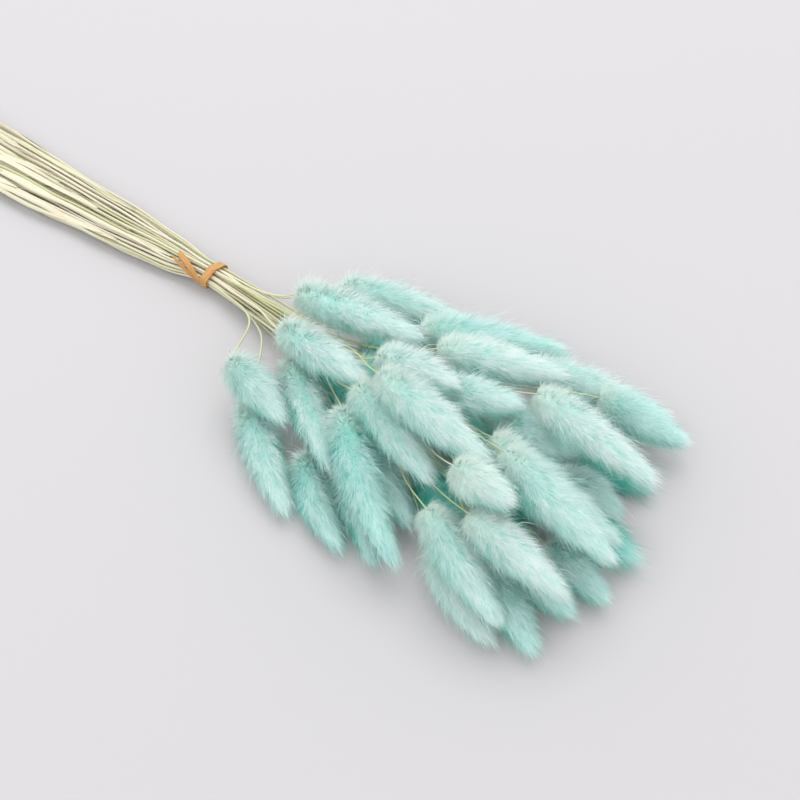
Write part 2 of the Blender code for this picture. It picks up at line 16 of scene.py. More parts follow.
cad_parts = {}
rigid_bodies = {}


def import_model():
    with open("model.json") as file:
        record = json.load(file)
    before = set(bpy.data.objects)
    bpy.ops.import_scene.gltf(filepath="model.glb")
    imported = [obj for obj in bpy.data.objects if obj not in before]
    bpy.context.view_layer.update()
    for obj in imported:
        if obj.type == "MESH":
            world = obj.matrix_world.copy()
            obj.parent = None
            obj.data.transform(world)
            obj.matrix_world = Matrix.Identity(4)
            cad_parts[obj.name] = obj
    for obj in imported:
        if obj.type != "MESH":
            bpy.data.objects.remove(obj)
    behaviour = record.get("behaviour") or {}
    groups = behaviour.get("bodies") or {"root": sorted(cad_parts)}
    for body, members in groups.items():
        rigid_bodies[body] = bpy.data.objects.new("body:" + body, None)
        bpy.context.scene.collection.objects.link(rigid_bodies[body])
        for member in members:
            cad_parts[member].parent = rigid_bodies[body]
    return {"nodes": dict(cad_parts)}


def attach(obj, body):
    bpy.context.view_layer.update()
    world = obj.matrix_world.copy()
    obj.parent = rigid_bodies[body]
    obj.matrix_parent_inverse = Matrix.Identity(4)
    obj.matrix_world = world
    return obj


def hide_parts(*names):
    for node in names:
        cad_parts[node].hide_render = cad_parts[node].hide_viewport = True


bl_info = {
    "name": "Bunny Tail Bunch",
    "version": (1, 0, 0),
    "blender": (4, 5, 0),
    "location": "3D View > Sidebar > Bunch",
    "description": "Dresses the solids of a tied bunch of dried bunny tail grass",
    "category": "Object",
}

for item in list(bpy.data.objects):
    bpy.data.objects.remove(item)
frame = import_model()
bpy.context.view_layer.update()

MM = 0.001
BODY = "root"
BAKE_MAP = "OFBake"
TINT = "tint"
UP = np.array([0.0, 0.0, 1.0])
HEADS = sorted(name for name in frame["nodes"] if name.startswith("head_"))
STEM_GROUPS = sorted(name for name in frame["nodes"] if name.startswith("stems_"))
TIE = "tie"

# Heads, as their solids are made
SHARES = (0.0, 0.12, 0.35, 0.62, 0.85, 1.0)
PROFILE = (0.62, 0.90, 1.0, 0.93, 0.67, 0.33)
FIT_WITHIN = (0.15, 0.8)
FIT_QUANTILE = 0.9
ON_SURFACE = 0.05 * MM
CUT_POINT_WEIGHT = 0.3
TYPICAL_LENGTH = 50 * MM
SEEN_HEADS = 30
HEAD_SEED = 100

# The core under the hairs
CORE_SHARE = 0.60
SLIMMER_FROM = 0.4
SLIMMER_END = 0.55
CORE_AROUND = 18
CORE_ALONG = 26
CORE_UNEVEN = 0.07
CORE_END_POWER = 8
CORE_MARK = 0.25
TIP_ROOM = 5.8 * MM

# Where the spikelets stand on the core, and how their hairs lean
GOLDEN_TURN = math.pi * (3 - math.sqrt(5))
COUNT_STEPS = 400
DENSER_BEFORE = 0.05
DENSER_BASE = 0.25
TURN_SWAY = 0.3
LEAN_AT = (0.0, 0.05, 0.14, 0.3, 0.55, 0.8, 1.0)
LEAN = (104, 84, 64, 49, 35, 15, 4)
SPIKELET_SWAY = 4
SPIKELET_DRIFT = 0.05
SPIKELET_LENGTHS = (0.94, 1.05)
TUFT_AREA = 16 * MM ** 2
TUFT_SWAY = 3
TUFT_DRIFT = 0.06
TUFT_PULL = 0.25
TUFT_TILT = 0.12
TUFT_LENGTHS = (0.92, 1.06)

# Hairs
ROOT_SPREAD = (0.7 * MM, 0.8 * MM)
ROUND_END = 0.06
LEAST_CORE = 0.12
ROOT_SUNK = 0.92
HAIR_SWAY = 9
HAIR_DRIFT = 0.10
HAIR_SHORTEST = 0.5
HAIR_LONGEST = 1.25
LENGTH_AT = (0, 0.1, 0.3, 0.7, 1)
LENGTH_SHARES = (0.62, 0.84, 1, 0.95, 1.05)
BENT_SHARE = 0.14
BEND = 16
BENT_THINNER = 0.7
STRAY_SHARE = 0.045
STRAY_LONGER = 1.6
STRONG_SHARE = 0.13
STRONG_WIDER = 1.9
STRONG_LONGER = 1.1
UNDER_LONGER = 1.4
HAIR_TWIST = 55
FACING_UP = 0.7
NORMAL_UP = 0.5
LOWEST_HAIR = 0.1 * MM
LIGHT_THROUGH = 0.68

# How far a hair's colour goes from its root's to its tip's: less on undersides, in gaps between heads and
# on heads under others, as painted shade
ROOT_MARK = 0.02
MIDDLE_MARK = 0.48
TIP_MARK = 0.94
MAP_HALF = 0.0015
PLACE_SPREAD = 0.012
PLACE_RANGE = (0.005, 0.995)
SHADE_FACING = (-0.5, 0.75)
UNDERSIDE_SHADE_PALENESS = 0.25
SHADE_FADES_FROM = 0.65
TIP_SHADE_PALENESS = 0.6
# Painted shade on the heads that lie under others
UNDER_HEADS_SHADE_PALENESS = 0.2
# Painted shade in gaps where heads press together
GAP_SHADE_REACH = 6 * MM
GAP_SHADE_CHECKS = 16
GAP_SHADE_PALENESS = 0.2
UNSHADED_FACING = (0.1, 0.6)

# Scales between the hairs: greenish husks and pale slivers
HUSKS = 7
HUSK_SIZE = (2.2 * MM, 0.4 * MM)
HUSK_MARK = 0.995
HUSK_COLOUR = (0.45, 0.72, 0.50, 1)
SLIVERS = 3
SLIVER_SIZE = (3.4 * MM, 0.2 * MM)
SLIVER_MARK = 0.97
SLIVER_COLOUR = (0.95, 0.97, 0.95, 1)
SCALE_PLACES = (0.06, 0.8)
SCALE_LEAN = (4, 26)
SCALE_DRIFT = 0.3
SCALE_LENGTHS = (0.6, 1.1)
SCALE_DEPTH = (0.96, 1.15)
SCALE_WIDEST = 0.4
SCALE_MAP_HALF = 0.01

# Tints of the heads in their order, and each tint's dye and how far its greenish base reaches
# The last twelve heads lie under others and all take the deep tint, partly their own colour and partly
# painted shade
HEAD_TINTS = "mmpmdddmdp" "dpmppdddmg" "pmmpddmdpm" "dddddddddddd"
TINTS = {"p": ("pale", 0.0, 0.30), "m": ("mid", 0.45, 0.26), "d": ("deep", 1.0, 0.20),
         "g": ("green", 0.15, 0.9)}

# Where the tie holds the stems, and the three stems of a group there
HELD = np.array([14.03, 16.46, 5.4]) * MM
HELD_HALF = 5 * MM
TRIO_RADIUS = 0.36 * MM
TRIO_TURNS = (210, 90, 330)

# Stems, followed from plane to plane through the solids
PLANE_STEP = 2 * MM
STILL_MERGED = 9
CAP_REACH = 5 * MM
CAP_BESIDE = 1.6 * MM
CAD_SIDES = 5
LEAST_AREA = 0.05 * MM ** 2
PENTAGON = 2.378
SMOOTH_STEP = 1.5 * MM
SMOOTH_PASSES = 6
LEAST_POINTS = 4
INTO_HEAD = 1.3 * MM

# Stems, as they are made
STEM_SEED = 7
WAVE = 0.34 * MM
WAVE_LENGTHS = (36 * MM, 60 * MM, 95 * MM)
WAVE_UPWARD = 0.35
WAVE_SHARES = (0.2, 1)
CALM = 12 * MM
TAPER_AT = (40 * MM, 75 * MM)
TAPER = 0.7
RIDGE = 0.05
HOLLOW = 0.55
HOLLOW_DEPTH = 0.8 * MM
AGED_COLOUR = (0.66, 0.56, 0.36, 1)
STRAW_LIGHTER = 1.1
# Greener and darker towards the heads: partly fresher stems, partly painted shade from the heads
GREENER_AND_SHADED_FROM = 30 * MM
GREENER_AND_SHADED_TO = 80 * MM

# Papery sheaths that clasp the stems behind the tie
SHEATHS = 3
SHEATH_FROM = (2 * MM, 110 * MM)
SHEATH_LONG = (45 * MM, 110 * MM)
SHEATH_LAST = -6 * MM
SHEATH_COLUMNS = 6
SHEATH_HALF = (1.1, 2.1)
SHEATH_OPENING = (12, 0.3)
SHEATH_CLOSING = (3, 0.05)
SHEATH_TURN = 0.8
SHEATH_TWIST = 1.0
SHEATH_LIFT = 0.12 * MM
SHEATH_FLARE = (0.1 * MM, 0.9 * MM)
FLARE_AT = (0, 0.3, 1)
FLARE_SHARES = (0.1, 1, 0.6)
FLARE_POWER = 1.5
SHEATH_CRINKLE = 0.06 * MM
SHEATH_TINTS = (0.0, 1.0)

# The bake's map has three bands across, one for each stem of a group or strip of the tie
MAP_BANDS = 3
STEM_MARGIN = 0.06
SHEATH_MARGIN = 0.1
STRIP_MARGIN = 0.04

# Tie
TIE_SEED = 5
TIE_REACH = 14 * MM
TIE_SLANT = 0.2
TIE_ASIDE = 1.6 * MM
BAND_HALF = 1.6 * MM
BAND_THICKNESS = 0.6 * MM
BAND_AROUND = 110
STRIP_COLUMNS = 13
STRIP_RIDGE = 0.05 * MM
STRIP_DRIFT = 0.15
STRIP_UNEVEN = 0.03
STRIP_EDGE_POWER = 6
STRIP_EDGE_SHARE = 0.35
WIDE_TAIL = ((2.0, 186), (-1.5, 172), (-4.5, 150), (-8.0, 128), (-11.0, 113), (-14.5, 99))
WIDE_TAIL_HALVES = (1.5 * MM, 1.1 * MM)
THIN_TAIL = ((1.0, 196), (-2.5, 184), (-6.5, 160), (-10.5, 143), (-15.0, 128))
THIN_TAIL_HALVES = (0.8 * MM, 0.6 * MM)
TAIL_THICKNESS = 0.45 * MM
TAIL_RINGS = 40
TAIL_END_SLANT = 0.5

# Studio: each light's way to the right, ahead and up from the middle of the picture, and its size
KEY_LIGHT = (0.1, 0.9, 1.5, 1.3)
FILL_LIGHT = (-1.2, -0.4, 1.6, 2.0)
FLOOR_HALF = 4.0


class BunchHeads(bpy.types.PropertyGroup):
    """Sizes and colours of the heads."""

    spikelets: bpy.props.IntProperty(
        name="Spikelets", description="Spikelets on one head", default=570, min=20, max=1200)
    hairs: bpy.props.IntProperty(
        name="Hairs", description="Hairs of one spikelet", default=29, min=5, max=200)
    hidden_share: bpy.props.FloatProperty(
        name="Hidden heads' hairs", description="Share of the hairs on the heads that lie under others",
        default=0.8, min=0.1, max=1.0, subtype="FACTOR")
    hair_length: bpy.props.FloatProperty(
        name="Hair length", description="Length of a hair", default=0.0067, unit="LENGTH")
    hair_width: bpy.props.FloatProperty(
        name="Hair width", description="Width of a hair at its root", default=0.000105, unit="LENGTH")
    tip_colour: bpy.props.FloatVectorProperty(
        name="Tip colour", description="Colour of the hairs' tips", default=(0.93, 0.97, 0.965),
        subtype="COLOR", size=3)
    root_colour: bpy.props.FloatVectorProperty(
        name="Root colour", description="Colour of the hairs' roots", default=(0.18, 0.79, 0.67),
        subtype="COLOR", size=3)
    dyed_tip_colour: bpy.props.FloatVectorProperty(
        name="Dyed tip colour", description="Colour of the tips where the dye took best",
        default=(0.74, 0.955, 0.94), subtype="COLOR", size=3)
    dyed_root_colour: bpy.props.FloatVectorProperty(
        name="Dyed root colour", description="Colour of the roots where the dye took best",
        default=(0.04, 0.62, 0.49), subtype="COLOR", size=3)
    base_colour: bpy.props.FloatVectorProperty(
        name="Base colour", description="Colour at the base of a head", default=(0.82, 0.97, 0.87),
        subtype="COLOR", size=3)


class BunchStems(bpy.types.PropertyGroup):
    """Fineness and colours of the stems."""

    ring_step: bpy.props.FloatProperty(
        name="Ring step", description="Distance between the rings of a stem", default=0.0034,
        min=0.001, unit="LENGTH")
    sides: bpy.props.IntProperty(
        name="Sides", description="Sides of a stem", default=8, min=4, max=16)
    straw_colour: bpy.props.FloatVectorProperty(
        name="Straw colour", description="Colour of a dried stem", default=(0.75, 0.715, 0.575),
        subtype="COLOR", size=3)
    green_colour: bpy.props.FloatVectorProperty(
        name="Green colour", description="Colour of a stem that dried green", default=(0.52, 0.60, 0.29),
        subtype="COLOR", size=3)
    dyed_colour: bpy.props.FloatVectorProperty(
        name="Dyed colour", description="Colour of a stem that took some dye", default=(0.66, 0.79, 0.66),
        subtype="COLOR", size=3)


class BunchTie(bpy.types.PropertyGroup):
    """Colours of the tie."""

    tan_colour: bpy.props.FloatVectorProperty(
        name="Tan colour", description="Colour of the strip", default=(0.69, 0.39, 0.14),
        subtype="COLOR", size=3)
    dark_colour: bpy.props.FloatVectorProperty(
        name="Dark colour", description="Colour of the strip's fibres", default=(0.47, 0.21, 0.05),
        subtype="COLOR", size=3)


class BunchStage(bpy.types.PropertyGroup):
    """The camera, the light and the floor."""

    look_at: bpy.props.FloatVectorProperty(
        name="Look at", description="Point in the middle of the picture",
        default=(0.11052, 0.00495, 0.012), subtype="XYZ", unit="LENGTH")
    azimuth: bpy.props.FloatProperty(
        name="Azimuth", description="Turn of the camera round the bunch", default=math.radians(32),
        unit="ROTATION")
    elevation: bpy.props.FloatProperty(
        name="Elevation", description="Angle of the camera above the floor", default=math.radians(62),
        unit="ROTATION")
    distance: bpy.props.FloatProperty(
        name="Distance", description="Distance of the camera", default=0.587, unit="LENGTH")
    lens: bpy.props.FloatProperty(
        name="Lens", description="Focal length of the camera", default=70, unit="CAMERA")
    floor_colour: bpy.props.FloatVectorProperty(
        name="Floor colour", description="Colour of the floor", default=(0.565, 0.553, 0.567),
        subtype="COLOR", size=3)
    key_power: bpy.props.FloatProperty(
        name="Key power", description="Power of the main light", default=14.2, min=0)
    fill_power: bpy.props.FloatProperty(
        name="Fill power", description="Power of the second light", default=6.0, min=0)
    sky_strength: bpy.props.FloatProperty(
        name="Sky strength", description="Strength of the light from all round", default=0.96, min=0)


class Shape:
    """Points, triangles and each point's place on the bake's map, with its normal or its tint."""

    def __init__(self, points, triangles, maps, normals=None, tints=None):
        self.points = points
        self.triangles = triangles
        self.maps = maps
        self.normals = normals
        self.tints = tints


def joined(shapes):
    """Returns several shapes as one."""
    firsts = np.cumsum([0] + [len(shape.points) for shape in shapes])

    def whole(key):
        parts = [getattr(shape, key) for shape in shapes]
        return None if parts[0] is None else np.concatenate(parts)

    triangles = np.concatenate([shape.triangles + first for shape, first in zip(shapes, firsts)])
    return Shape(whole("points"), triangles, whole("maps"), whole("normals"), whole("tints"))


def add_piece(name, shape, material):
    """Adds a smooth mesh that rides on the bunch."""
    mesh = bpy.data.meshes.new(name)
    corners = shape.triangles.ravel().astype(np.int32)
    mesh.vertices.add(len(shape.points))
    mesh.vertices.foreach_set("co", shape.points.astype(np.float32).ravel())
    mesh.loops.add(len(corners))
    mesh.loops.foreach_set("vertex_index", corners)
    mesh.polygons.add(len(shape.triangles))
    mesh.polygons.foreach_set("loop_start", np.arange(0, len(corners), 3, dtype=np.int32))
    layer = mesh.uv_layers.new(name=BAKE_MAP)
    layer.uv.foreach_set("vector", shape.maps[corners].astype(np.float32).ravel())
    if shape.tints is not None:
        tints = mesh.attributes.new(TINT, "FLOAT", "POINT")
        tints.data.foreach_set("value", shape.tints.astype(np.float32))
    mesh.update(calc_edges=True)
    mesh.validate()
    mesh.shade_smooth()
    if shape.normals is not None:
        mesh.normals_split_custom_set_from_vertices(shape.normals)
    mesh.materials.append(material)
    piece = bpy.data.objects.new(name, mesh)
    bpy.context.scene.collection.objects.link(piece)
    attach(piece, BODY)
    return piece


def node_mesh(name):
    """Returns the points of a solid, each once, and its triangles."""
    mesh = frame["nodes"][name].data
    mesh.calc_loop_triangles()
    points = np.zeros(len(mesh.vertices) * 3)
    mesh.vertices.foreach_get("co", points)
    corners = np.zeros(len(mesh.loop_triangles) * 3, dtype=np.int64)
    mesh.loop_triangles.foreach_get("vertices", corners)
    unique, place = np.unique(points.reshape(-1, 3).round(7), axis=0, return_inverse=True)
    return unique, place.ravel()[corners].reshape(-1, 3)


def rows_unit(vectors):
    """Returns vectors scaled to length one, row by row."""
    return vectors / np.maximum(np.linalg.norm(vectors, axis=-1, keepdims=True), 1e-12)


class Head:
    """The middle line and the radius of a head, measured from its solid."""

    def __init__(self, name):
        points = node_mesh(name)[0]
        middle = points.mean(axis=0)
        away = np.linalg.svd(points - middle, full_matrices=False)[2][0]
        if away @ (middle - HELD) < 0:
            away = -away
        at = (points - middle) @ away
        self.length = np.ptp(at)
        share = (at - at.min()) / self.length
        weights = np.where(points[:, 2] < ON_SURFACE, CUT_POINT_WEIGHT, 1.0)
        self.bends = np.polynomial.polynomial.polyfit(share, points, 2, w=weights)
        out = np.linalg.norm(points - self.line(share), axis=1)
        inside = (share > FIT_WITHIN[0]) & (share < FIT_WITHIN[1])
        self.radius = np.quantile(out[inside] / self.profile(share[inside]), FIT_QUANTILE)

    def line(self, share):
        """Returns the points of the middle line at shares of its length."""
        return np.stack([share ** 0, share, share ** 2], axis=-1) @ self.bends

    def profile(self, share):
        """Returns the radius at shares of the length, as a share of the largest."""
        return np.interp(share, SHARES, PROFILE)

    def core(self, share):
        """Returns the radius of the core under the hairs at shares of the length."""
        slimmer = np.interp(share, (SLIMMER_FROM, 1.0), (1.0, SLIMMER_END))
        return self.radius * CORE_SHARE * self.profile(share) * slimmer

    def frames(self, share, turn):
        """Returns the ways forward, outward and aside at shares of the length and turns."""
        forward = rows_unit(self.bends[1] + 2 * share[:, None] * self.bends[2])
        side = rows_unit(np.cross(UP, forward))
        over = np.cross(forward, side)
        outward = side * np.cos(turn)[:, None] + over * np.sin(turn)[:, None]
        return forward, outward, np.cross(forward, outward)


def lit_normals(outward):
    """Returns soft normals, so that the hairs are lit as the whole head is."""
    return rows_unit(outward + UP * NORMAL_UP)


def core_shape(head, rng):
    """Returns the core of a head: a knobbly closed body under the hairs."""
    share = np.linspace(0.0, 1.0, CORE_ALONG)
    inner = share * (1 - TIP_ROOM / head.length)
    turns = np.arange(CORE_AROUND) * 2 * math.pi / CORE_AROUND
    points = []
    normals = []
    for row in range(CORE_ALONG):
        round_end = math.sqrt(max(0.0, 1 - (2 * share[row] - 1) ** CORE_END_POWER))
        radius = head.core(inner[row]) * round_end
        at = np.full(CORE_AROUND, inner[row])
        outward = head.frames(at, turns + 0.5 * (row % 2) * turns[1])[1]
        uneven = 1 + rng.uniform(-CORE_UNEVEN, CORE_UNEVEN, (CORE_AROUND, 1))
        points.append(head.line(at) + outward * radius * uneven)
        normals.append(lit_normals(outward))
    triangles = []
    for row in range(CORE_ALONG - 1):
        for place in range(CORE_AROUND):
            beside = (place + 1) % CORE_AROUND
            a, b = row * CORE_AROUND + place, row * CORE_AROUND + beside
            c, d = a + CORE_AROUND, b + CORE_AROUND
            if row % 2:
                triangles += [(a, b, d), (a, d, c)]
            else:
                triangles += [(a, b, c), (b, d, c)]
    points = np.concatenate(points)
    maps = np.stack([np.repeat(share, CORE_AROUND), np.full(len(points), CORE_MARK)], axis=1)
    return Shape(points, np.array(triangles), maps, np.concatenate(normals))


def facing(points, triangles, ways):
    """Returns the triangles, each turned so that its front shows along its way."""
    a, b, c = (points[triangles[:, corner]] for corner in range(3))
    away = (np.cross(b - a, c - a) * ways).sum(axis=1) < 0
    triangles = triangles.copy()
    triangles[away] = triangles[away][:, ::-1]
    return triangles


def crowding(head, others, place, turn):
    """Returns how free places on a head are, for the painted shade in gaps: 0 where another head touches,
    1 in the open.
    """
    out = head.frames(place, turn)[1] * (head.radius * head.profile(place))[:, None]
    points = (head.line(place) + out)[:, None]
    gaps = np.full(len(place), GAP_SHADE_REACH)
    for other in others:
        share = np.linspace(0, 1, GAP_SHADE_CHECKS)
        away = np.linalg.norm(points - other.line(share), axis=2) - other.radius * other.profile(share)
        gaps = np.minimum(gaps, away.min(axis=1))
    return np.clip(gaps / GAP_SHADE_REACH, 0, 1)


def spikelets_on(head, count, length, rng):
    """Returns where the spikelets stand on a head, how they lean and drift, how long their hairs
    are, and how their normals tilt. Those of one tuft share a part of each."""
    number = np.arange(count)
    dense = np.linspace(0, 1, COUNT_STEPS)
    weight = np.cumsum(head.profile(dense) + DENSER_BASE * (dense < DENSER_BEFORE))
    place = np.interp((number + rng.uniform(0, 1, count)) / count, weight / weight[-1], dense)
    turn = number * GOLDEN_TURN + rng.uniform(-TURN_SWAY, TURN_SWAY, count)
    lean = np.interp(place, LEAN_AT, LEAN) + rng.normal(0, SPIKELET_SWAY, count)
    sideways = rng.normal(0, SPIKELET_DRIFT, count)
    longer = rng.uniform(*SPIKELET_LENGTHS, count)

    tufts = round(2 * math.pi * head.radius * head.length / TUFT_AREA)
    middle_place = rng.uniform(0, 1, tufts)
    middle_turn = rng.uniform(0, 2 * math.pi, tufts)
    beyond = (place[:, None] - middle_place) * head.length
    beside = (turn[:, None] - middle_turn + math.pi) % (2 * math.pi) - math.pi
    beside *= head.radius * head.profile(place)[:, None]
    tuft = np.hypot(beyond, beside).argmin(axis=1)
    lean += rng.normal(0, TUFT_SWAY, tufts)[tuft]
    sideways += rng.normal(0, TUFT_DRIFT, tufts)[tuft] - beside[number, tuft] * TUFT_PULL / length
    longer *= rng.uniform(*TUFT_LENGTHS, tufts)[tuft]
    tilts = rng.normal(0, TUFT_TILT, (2, tufts))[:, tuft]
    return place, turn, lean, sideways, longer, tilts


def painted_shade_paleness(place, outward, free, head_shade_paleness):
    """Returns how far the hairs' colour goes towards the tip's: less on undersides and in gaps, as
    painted shade.
    """
    to_tip = np.interp(place, (SHADE_FADES_FROM, 1.0), (0.0, 1.0))
    least = UNDERSIDE_SHADE_PALENESS + (TIP_SHADE_PALENESS - UNDERSIDE_SHADE_PALENESS) * to_tip
    pale = np.interp(outward[:, 2], SHADE_FACING, (0.0, 1.0)) * (1 - least) + least
    pale *= head_shade_paleness + (1 - head_shade_paleness) * to_tip
    free = np.maximum(free, np.interp(outward[:, 2], UNSHADED_FACING, (0.0, 1.0)))
    return pale * (GAP_SHADE_PALENESS + (1 - GAP_SHADE_PALENESS) * free)


def hair_shape(head, others, spikelets, hairs, length, width, head_shade_paleness, rng):
    """Returns the hairs of a head: thin triangles, and some bent strips of three."""
    place, turn, lean, sideways, longer, tilts = spikelets_on(head, spikelets, length, rng)
    owner = np.repeat(np.arange(spikelets), hairs)
    count = len(owner)
    inner = 1 - TIP_ROOM / head.length
    aside_along = rng.normal(0, ROOT_SPREAD[0], count) / head.length
    share = np.clip(place[owner] * inner + aside_along, 0, inner)
    to_end = np.minimum(share, inner - share) / ROUND_END
    round_end = np.sqrt(1 - np.maximum(0, 1 - to_end) ** 2)
    core = head.core(share) * np.maximum(round_end, LEAST_CORE)
    around = turn[owner] + rng.normal(0, ROOT_SPREAD[1], count) / core
    forward, outward, aside = head.frames(share, around)
    angle = np.radians(lean[owner] + rng.normal(0, HAIR_SWAY, count))
    drift = (sideways[owner] + rng.normal(0, HAIR_DRIFT, count))[:, None]
    size = length * longer[owner] * rng.uniform(HAIR_SHORTEST, HAIR_LONGEST, count)
    size *= np.interp(share, LENGTH_AT, LENGTH_SHARES)
    stray = rng.uniform(0, 1, count) < STRAY_SHARE
    size[stray] *= STRAY_LONGER
    strong = rng.uniform(0, 1, count) < STRONG_SHARE
    size[strong] *= STRONG_LONGER
    wide = np.where(strong, STRONG_WIDER, 1.0)[:, None] * width

    def way(turned):
        lifted = outward * np.sin(angle + turned)[:, None] + forward * np.cos(angle + turned)[:, None]
        return rows_unit(lifted + aside * drift)

    root = head.line(share) + outward * (core * ROOT_SUNK)[:, None]
    straight = way(0.0)
    toward = rows_unit(outward + UP * FACING_UP)
    flat = rows_unit(np.cross(straight, toward))
    lift = np.cross(straight, flat)
    twist = np.radians(rng.uniform(-HAIR_TWIST, HAIR_TWIST, count))[:, None]
    across = (flat * np.cos(twist) + lift * np.sin(twist)) * wide / 2
    place_u = np.clip(share / inner + rng.normal(0, PLACE_SPREAD, count), *PLACE_RANGE)
    # The marks along the hairs carry painted shade: less pale on undersides, in gaps between heads and on
    # heads under others
    free = crowding(head, others, place, turn)[owner]
    pale = painted_shade_paleness(place_u, outward, free, head_shade_paleness)
    tilt = tilts[:, owner, None]
    soft = lit_normals(outward + aside * tilt[0] + forward * tilt[1])

    def strips(chosen, rows, corners, marks):
        """Returns hairs of the same build, their points given row by row."""
        points = np.stack([row[chosen] for row in rows], axis=1)
        each = points.shape[1]
        firsts = np.arange(len(points))[:, None] * each
        triangles = np.concatenate([firsts + np.array([corner]) for corner in corners])
        ways = np.tile(toward[chosen], (len(corners), 1))
        triangles = facing(points.reshape(-1, 3), triangles, ways)
        u = place_u[chosen][:, None] + np.array([[-MAP_HALF, MAP_HALF] * (each // 2) + [0.0]])
        v = pale[chosen][:, None] * np.array([marks])
        maps = np.stack([u, v], axis=-1).reshape(-1, 2)
        return Shape(points.reshape(-1, 3), triangles, maps, np.repeat(soft[chosen], each, axis=0))

    bent = stray | (rng.uniform(0, 1, count) < BENT_SHARE)
    tip = root + straight * size[:, None]
    half = root + way(math.radians(BEND)) * size[:, None] * 0.5
    end = half + way(math.radians(-BEND)) * size[:, None] * 0.5
    thin = across * BENT_THINNER
    shape = joined([
        strips(~bent, (root - across, root + across, tip), ((0, 1, 2),),
               (ROOT_MARK, ROOT_MARK, TIP_MARK)),
        strips(bent, (root - across, root + across, half - thin, half + thin, end),
               ((0, 1, 3), (0, 3, 2), (2, 3, 4)),
               (ROOT_MARK, ROOT_MARK, MIDDLE_MARK, MIDDLE_MARK, TIP_MARK)),
    ])
    shape.points[:, 2] = np.maximum(shape.points[:, 2], LOWEST_HAIR)
    return shape


def scale_shape(head, count, size, mark, rng):
    """Returns a few scales that show between the tips of the hairs: pointed flat strips."""
    share = rng.uniform(*SCALE_PLACES, count)
    turn = rng.uniform(0, 2 * math.pi, count)
    forward, outward, aside = head.frames(share, turn)
    lean = np.radians(rng.uniform(*SCALE_LEAN, count))[:, None]
    drift = aside * rng.normal(0, SCALE_DRIFT, (count, 1))
    way = rows_unit(forward * np.cos(lean) + outward * np.sin(lean) + drift)
    long = size[0] * rng.uniform(*SCALE_LENGTHS, (count, 1))
    depth = head.radius * head.profile(share) * rng.uniform(*SCALE_DEPTH, count)
    root = head.line(share) + outward * depth[:, None]
    wide = rows_unit(np.cross(way, outward)) * size[1] / 2
    middle = root + way * long * SCALE_WIDEST
    points = np.stack([root, middle - wide, middle + wide, root + way * long], axis=1).reshape(-1, 3)
    points[:, 2] = np.maximum(points[:, 2], LOWEST_HAIR)
    firsts = np.arange(count)[:, None] * 4
    triangles = np.concatenate([firsts + np.array([[0, 1, 2]]), firsts + np.array([[1, 3, 2]])])
    triangles = facing(points, triangles, np.tile(outward, (2, 1)))
    u = np.clip(share[:, None] + np.array([[-SCALE_MAP_HALF, 0.0, 0.0, SCALE_MAP_HALF]]), 0, 1)
    maps = np.stack([u, np.full(u.shape, mark)], axis=-1).reshape(-1, 2)
    return Shape(points, triangles, maps, np.repeat(lit_normals(outward), 4, axis=0))


def outlines(points, triangles, x):
    """Returns the middles and the areas of the separate outlines that a plane across cuts."""
    over = points[:, 0] > x
    count = over[triangles].sum(axis=1)
    hit = triangles[(count == 1) | (count == 2)]
    single = over[hit].sum(axis=1) == 1
    lone = (over[hit] == single[:, None]).argmax(axis=1)
    rows = np.arange(len(hit))
    first = hit[rows, lone]
    ends = []
    keys = []
    for step in (1, 2):
        other = hit[rows, (lone + step) % 3]
        share = (x - points[first, 0]) / (points[other, 0] - points[first, 0])
        ends.append((points[first] + (points[other] - points[first]) * share[:, None])[:, 1:])
        keys.append(np.minimum(first, other) * len(points) + np.maximum(first, other))
    start = np.where(single[:, None], ends[0], ends[1])
    finish = np.where(single[:, None], ends[1], ends[0])
    place = np.unique(np.concatenate(keys), return_inverse=True)[1].ravel()
    one, two = place[:len(hit)], place[len(hit):]
    label = np.arange(place.max() + 1 if len(place) else 0)
    while True:
        low = np.minimum(label[one], label[two])
        after = label.copy()
        np.minimum.at(after, one, low)
        np.minimum.at(after, two, low)
        if (after == label).all():
            break
        label = after
    loops = np.unique(label[one], return_inverse=True)[1].ravel()
    cross = start[:, 0] * finish[:, 1] - start[:, 1] * finish[:, 0]
    area = np.bincount(loops, cross) / 2
    sums = [np.bincount(loops, (start + finish)[:, axis] * cross) for axis in (0, 1)]
    middle = np.stack(sums, axis=1) / (6 * area[:, None])
    keep = np.abs(area) > LEAST_AREA
    return middle[keep], np.abs(area[keep])


